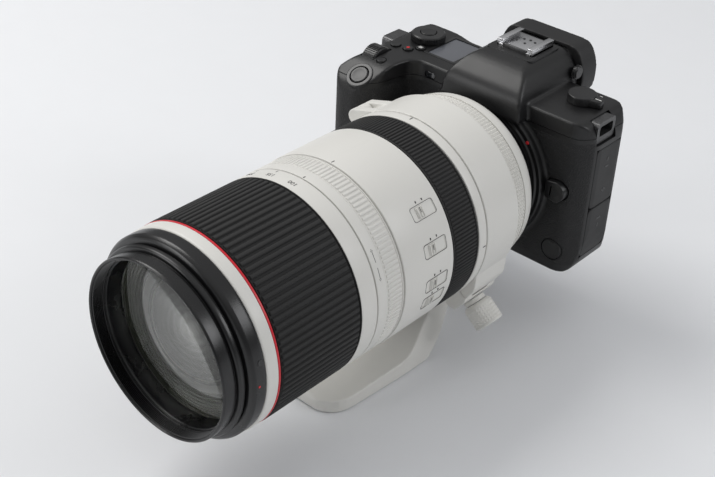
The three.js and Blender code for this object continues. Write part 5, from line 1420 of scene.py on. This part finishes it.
def make_rear_controls():
    low, high = span("rear_dial")
    middle = (low + high) / 2
    radius, height = (high.x - low.x) / 2, high.y - low.y
    set_radius = (span("set_button")[1].x - span("set_button")[0].x) / 2
    dial = knurled(radius, height, set_radius + 0.35, 80, 0.3)
    place(dial, turn=(-90, "X"))
    finish_piece("rear_dial_knurl", place(dial, (middle.x, low.y, middle.z)), "rear_dial",
                 control_black(), ["rear_dial"], sharp=35)
    dishes = {"set_button": 0.4, "joystick": 0.9, "af_start_button": 0.1, "menu_button": 0.1}
    for node, dish in dishes.items():
        low, high = span(node)
        middle = (low + high) / 2
        cap = knob((high.x - low.x) / 2, high.y - low.y, 0.5, dish=dish)
        place(cap, turn=(-90, "X"))
        look = soft_rubber() if node == "joystick" else control_black()
        finish_piece(node + "_cap", place(cap, (middle.x, low.y, middle.z)), node, look, [node])
    small = []
    spots = [(GRIP_X + 12, TOP_Z - 12, 2.4), (GRIP_X + 20, TOP_Z - 12, 2.4),
             (GRIP_X + 33.5, TOP_Z - 24, 2.2), (GRIP_X + 12.5, BASE_Z + 47, 2.4),
             (GRIP_X + 31, BASE_Z + 47, 2.4), (GRIP_X + 33, BASE_Z + 10, 2.2),
             (PORT_X - 24.5, TOP_Z - 12, 2.6)]
    for x, z, r in spots:
        bulge = REAR_Y + 4 if x < GRIP_INNER_X - 6 else REAR_Y + (1.2 if x < GRIP_INNER_X + 6 else 0)
        cap = place(knob(r, 2.6, 0.35), turn=(-90, "X"))
        small.append(place(cap, (x, bulge - 1.7, z)))
    finish_piece("back_buttons", joined(*small), "camera_body", control_black())
    wheel = knurled(3.6, 2.4, 0.0, 30, 0.3)
    place(wheel, turn=(90, "Y"))
    finish_piece("dioptre_wheel", place(wheel, (23.0, REAR_Y + 3, TOP_Z + 4)), "camera_body",
                 control_black(), sharp=35)


def make_screen():
    low, high = span("screen_panel")
    panel = slab(oblong(low.x, low.z, high.x, high.z, 3), "y", low.y, high.y)
    finish_piece("screen_case", round_edges(panel, 0.5, 3, 60), "screen", control_black(),
                 ["screen_panel"])
    pane = slab(oblong(low.x + 2, low.z + 2, high.x - 2, high.z - 2, 2), "y", high.y - 0.6, high.y + 0.12)
    finish_piece("screen_glass", pane, "screen", display_glass())
    notch = block((low.x + 0.5, low.y + 1.2, low.z + 24), (low.x - 0.35, low.y + 3.8, low.z + 36), 0.3)
    finish_piece("screen_thumb_ridge", tidy(notch), "screen", control_black())
    low, high = span("screen_hinge")
    arm = plan_plate(low, high, 0, 2, low.z, high.z)
    finish_piece("screen_hinge_arm", round_edges(arm, 0.3, 2, 60), "screen",
                 control_black(), ["screen_hinge"])
    pins = []
    for z in (low.z - 2.2, high.z):
        pins.append(place(knob(1.6, 2.2, 0.2, sides=24), ((low.x + high.x) / 2, (low.y + high.y) / 2, z)))
    finish_piece("screen_hinge_pins", joined(*pins), "camera_body", black_metal())


def make_doors():
    low, high = span("battery_door")
    door = plan_plate(low, high, 0, 3, low.z, high.z)
    latch = slab(oblong(high.x - 9, low.y + 16, high.x - 3, low.y + 26, 1.4), "z", low.z - 0.35, low.z + 1)
    lid = joined(round_edges(door, 0.35, 2, 60), round_edges(latch, 0.2))
    finish_piece("battery_lid", lid, "battery_door", body_paint(), ["battery_door"])
    for name, node, slot, look in (("card_lid", "card_door", "grip_rubber", leather()),
                                   ("upper_port_flap", "upper_port_cover", "rubber", soft_rubber()),
                                   ("lower_port_flap", "lower_port_cover", "rubber", soft_rubber())):
        finish_piece(name, skin_of(node), node, look, [node], sharp=50)
    upper_icons = ((8, 3.4, 0.9), (8, 1.0, 2.6), (21, 2.8, 0.9), (25, 1.0, 2.2))
    lower_icons = ((20, 3.4, 0.9), (16, 1.0, 2.4))
    for name, node, icons in (("upper_port_icons", "upper_port_cover", upper_icons),
                              ("lower_port_icons", "lower_port_cover", lower_icons)):
        low, high = span(node)
        plates = [block((high.x - 0.4, low.y + 10 - w / 2, low.z + z - h / 2),
                        (high.x + 0.12, low.y + 10 + w / 2, low.z + z + h / 2), 0.08, 1) for z, w, h in icons]
        finish_piece(name, joined(*plates), node, control_black())
    sockets = []
    low, high = span("upper_port_cover")
    for z, half in ((low.z + 6, 3.0), (low.z + 14, 4.5), (low.z + 24, 3.0)):
        sockets.append(block((low.x - 0.4, low.y + 6, z - half), (low.x + 0.6, low.y + 13, z + half), 0.4))
    low, high = span("lower_port_cover")
    for z, half in ((low.z + 8, 4.5), (low.z + 19, 3.0)):
        sockets.append(block((high.x - 3.2, low.y + 6, z - half), (high.x - 2.2, low.y + 13, z + half), 0.4))
    finish_piece("port_sockets", joined(*sockets), "camera_body", black_metal())


def skin_of(node):
    """A finer copy of a node that follows the body's wall, with its edges eased."""
    bm = bmesh.new()
    bm.from_mesh(bpy.data.objects[node].data)
    bmesh.ops.transform(bm, matrix=TO_METRES.inverted(), verts=bm.verts)
    tidy(bm, 0.01)
    bmesh.ops.dissolve_limit(bm, angle_limit=math.radians(2), verts=bm.verts, edges=bm.edges)
    return cast(bm, 0.3, 2)


def make_lugs():
    for node in ("strap_lug_port_side", "strap_lug_grip_side"):
        low, high = span(node)
        outline = oblong(low.y, low.z, high.y, high.z, 2.4)
        opening = oblong(low.y + 2, low.z + 3.6, high.y - 2, high.z - 2.2, 1.6)
        lug = minus(slab(outline, "x", low.x, high.x), slab(opening, "x", low.x - 5, high.x + 5))
        finish_piece(node + "_loop", lug, "camera_body", black_metal(), [node])


def dress_inner_nodes():
    """Finishes of the nodes that stay as they are: the works inside."""
    looks = {
        "chassis": black_metal(), "shutter_unit": control_black(), "sensor_unit": cell_case(),
        "main_board": board_green(), "battery": cell_case(), "memory_card": cell_case(),
        "lens_lock_pin": bright_steel(), "aperture_unit": anodised(), "focus_group": outer_group_glass(),
    }
    for node, look in looks.items():
        data = bpy.data.objects[node].data
        data.materials.clear()
        data.materials.append(look)


def make_mounts():
    bodies = {"body_mount": "camera_body", "lens_mount": "lens"}
    for node, body in bodies.items():
        bm = bmesh.new()
        bm.from_mesh(bpy.data.objects[node].data)
        bmesh.ops.transform(bm, matrix=TO_METRES.inverted(), verts=bm.verts)
        tidy(bm, 0.01)
        finish_piece(node + "_bright", bm, body, bright_steel(), [node], sharp=30)


# ------------------------------------------------------------------ stage

def make_stage():
    stage = settings().stage
    a, e, r = (math.radians(v) for v in (stage.azimuth, stage.elevation, stage.roll))
    back = Vector((math.sin(a) * math.cos(e), -math.cos(a) * math.cos(e), math.sin(e)))
    right = Vector((math.cos(a), math.sin(a), 0))
    up = back.cross(right)
    camera_right = right * math.cos(r) + up * math.sin(r)
    camera_up = up * math.cos(r) - right * math.sin(r)
    low, high = CAD_BOX
    target = Vector((low.x + 0.0506, high.y - 0.1128, low.z + 0.0459))
    place_of = target + back * stage.distance
    data = bpy.data.cameras.new("stage_camera")
    data.sensor_width = 36.0
    data.lens = stage.focal_length
    camera = bpy.data.objects.new("stage_camera", data)
    camera.matrix_world = Matrix((
        (camera_right.x, camera_up.x, back.x, place_of.x),
        (camera_right.y, camera_up.y, back.y, place_of.y),
        (camera_right.z, camera_up.z, back.z, place_of.z),
        (0, 0, 0, 1),
    ))
    bpy.context.collection.objects.link(camera)
    bpy.context.scene.camera = camera

    bm = bmesh.new()
    bmesh.ops.create_grid(bm, x_segments=1, y_segments=1, size=6.0)
    floor_mesh = bpy.data.meshes.new("floor")
    bm.to_mesh(floor_mesh)
    bm.free()
    floor_mesh.materials.append(
        surface("studio_floor", stage.floor, 0.55, grain_mm=4.0, bump=0.01, contrast=0.01))
    floor = bpy.data.objects.new("floor", floor_mesh)
    floor.location.z = low.z - 0.0004
    bpy.context.collection.objects.link(floor)

    world = bpy.data.worlds.new("studio")
    world.use_nodes = True
    bpy.context.scene.world = world
    tree = world.node_tree
    background = tree.nodes["Background"]
    background.inputs["Color"].default_value = (0.985, 0.99, 1.0, 1)
    direction = tree.nodes.new("ShaderNodeTexCoord")
    split = tree.nodes.new("ShaderNodeSeparateXYZ")
    height = tree.nodes.new("ShaderNodeMapRange")
    height.inputs["From Min"].default_value = 0.05
    height.inputs["From Max"].default_value = 0.85
    height.inputs["To Min"].default_value = 0.16
    height.inputs["To Max"].default_value = 0.66
    tree.links.new(direction.outputs["Generated"], split.inputs["Vector"])
    tree.links.new(split.outputs["Z"], height.inputs["Value"])
    tree.links.new(height.outputs["Result"], background.inputs["Strength"])
    for name, where, width, power, tint in (
            ("key_softbox", (-0.85, -0.15, 1.15), 0.75, 9.5, (1.0, 0.99, 0.97)),
            ("front_softbox", (-0.9, -1.35, 0.55), 0.6, 5.0, (1.0, 1.0, 1.0)),
            ("rim_softbox", (1.2, 0.7, 0.85), 0.6, 5.0, (0.97, 0.98, 1.0))):
        light = bpy.data.lights.new(name, "AREA")
        light.shape = "SQUARE"
        light.size = width
        light.energy = power
        light.color = tint
        holder = bpy.data.objects.new(name, light)
        holder.location = Vector(where)
        aim = Vector((0, 0, 0.08)) - holder.location
        holder.rotation_mode = "QUATERNION"
        holder.rotation_quaternion = aim.to_track_quat("-Z", "Y")
        bpy.context.collection.objects.link(holder)
    bpy.context.scene.view_settings.view_transform = "Standard"


# ------------------------------------------------------------------ operators

class SceneSettings(bpy.types.PropertyGroup):
    lens: PointerProperty(type=LensSettings, name="Lens", description="Sizes and colours of the lens")
    body: PointerProperty(type=BodySettings, name="Body", description="Sizes and colours of the body")
    stage: PointerProperty(type=StageSettings, name="Stage", description="View and floor")


class PieceOperator:
    """Shared behaviour of the operators: each runs its makers."""

    bl_options = {"REGISTER", "UNDO"}
    makers = ()

    def execute(self, context):
        for maker in self.makers:
            maker()
        return {"FINISHED"}


class CAMERA_OT_stage(PieceOperator, bpy.types.Operator):
    """Add the floor, the soft lights and the stage camera"""

    bl_idname = "telephoto.stage"
    bl_label = "Stage"
    makers = (make_stage,)


class CAMERA_OT_front_barrel(PieceOperator, bpy.types.Operator):
    """Add the front barrel with its thread, white ring and red ring"""

    bl_idname = "telephoto.front_barrel"
    bl_label = "Front barrel"
    makers = (make_front_barrel,)


class CAMERA_OT_front_glass(PieceOperator, bpy.types.Operator):
    """Add the front lens, the baffle cone and the second lens"""

    bl_idname = "telephoto.front_glass"
    bl_label = "Front glass"
    makers = (make_front_glass,)


class CAMERA_OT_rings(PieceOperator, bpy.types.Operator):
    """Add the zoom, tension, focus and control rings"""

    bl_idname = "telephoto.rings"
    bl_label = "Rings"
    makers = (make_zoom_ring, make_tension_ring, make_focus_ring, make_control_ring)


class CAMERA_OT_barrel(PieceOperator, bpy.types.Operator):
    """Add the fixed barrel and its switches"""

    bl_idname = "telephoto.barrel"
    bl_label = "Fixed barrel and switches"
    makers = (make_barrel, make_switches)


class CAMERA_OT_collar(PieceOperator, bpy.types.Operator):
    """Add the tripod collar, its foot and its clamp"""

    bl_idname = "telephoto.collar"
    bl_label = "Collar and foot"
    makers = (make_collar_top, make_collar_base, make_clamp)


class CAMERA_OT_mounts(PieceOperator, bpy.types.Operator):
    """Add the two halves of the bayonet mount"""

    bl_idname = "telephoto.mounts"
    bl_label = "Mounts"
    makers = (make_mounts,)


class CAMERA_OT_body(PieceOperator, bpy.types.Operator):
    """Add the moulded body and its lugs"""

    bl_idname = "telephoto.body"
    bl_label = "Body"
    makers = (make_body, make_lugs)


class CAMERA_OT_finder(PieceOperator, bpy.types.Operator):
    """Add the eyecup, the eyepiece and the accessory shoe"""

    bl_idname = "telephoto.finder"
    bl_label = "Viewfinder"
    makers = (make_finder_details,)


class CAMERA_OT_front_details(PieceOperator, bpy.types.Operator):
    """Add the mount collar, the lamp window, the release button and the remote flap"""

    bl_idname = "telephoto.front_details"
    bl_label = "Front details"
    makers = (make_front_details,)


class CAMERA_OT_top_controls(PieceOperator, bpy.types.Operator):
    """Add the buttons, dials, lever and display on top"""

    bl_idname = "telephoto.top_controls"
    bl_label = "Top controls"
    makers = (make_top_controls,)


class CAMERA_OT_rear_controls(PieceOperator, bpy.types.Operator):
    """Add the dial and the buttons on the back"""

    bl_idname = "telephoto.rear_controls"
    bl_label = "Rear controls"
    makers = (make_rear_controls,)


class CAMERA_OT_screen(PieceOperator, bpy.types.Operator):
    """Add the swinging screen and its hinge"""

    bl_idname = "telephoto.screen"
    bl_label = "Screen"
    makers = (make_screen,)


class CAMERA_OT_doors(PieceOperator, bpy.types.Operator):
    """Add the battery door, the card door and the port flaps"""

    bl_idname = "telephoto.doors"
    bl_label = "Doors"
    makers = (make_doors,)


class CAMERA_OT_works(PieceOperator, bpy.types.Operator):
    """Give the inner works their finishes"""

    bl_idname = "telephoto.works"
    bl_label = "Inner works"
    makers = (dress_inner_nodes,)


OPERATORS = (
    CAMERA_OT_stage, CAMERA_OT_front_barrel, CAMERA_OT_front_glass, CAMERA_OT_rings, CAMERA_OT_barrel,
    CAMERA_OT_collar, CAMERA_OT_mounts, CAMERA_OT_body, CAMERA_OT_finder, CAMERA_OT_front_details,
    CAMERA_OT_top_controls, CAMERA_OT_rear_controls, CAMERA_OT_screen, CAMERA_OT_doors, CAMERA_OT_works,
)


class CAMERA_PT_panel(bpy.types.Panel):
    """Settings and pieces of the camera"""

    bl_label = "Telephoto camera"
    bl_idname = "CAMERA_PT_telephoto"
    bl_space_type = "VIEW_3D"
    bl_region_type = "UI"
    bl_category = "Camera"

    def draw(self, context):
        layout = self.layout
        groups = context.scene.telephoto_camera
        for group in (groups.lens, groups.body, groups.stage):
            for field in group.__annotations__:
                layout.prop(group, field)
        for operator in OPERATORS:
            layout.operator(operator.bl_idname)


CLASSES = (LensSettings, BodySettings, StageSettings, SceneSettings, *OPERATORS, CAMERA_PT_panel)


def register():
    for item in CLASSES:
        bpy.utils.register_class(item)
    bpy.types.Scene.telephoto_camera = PointerProperty(type=SceneSettings)


def unregister():
    del bpy.types.Scene.telephoto_camera
    for item in reversed(CLASSES):
        bpy.utils.unregister_class(item)


def main():
    register()
    for operator in OPERATORS:
        group, name = operator.bl_idname.split(".")
        getattr(getattr(bpy.ops, group), name)()


if __name__ == "__main__":
    main()
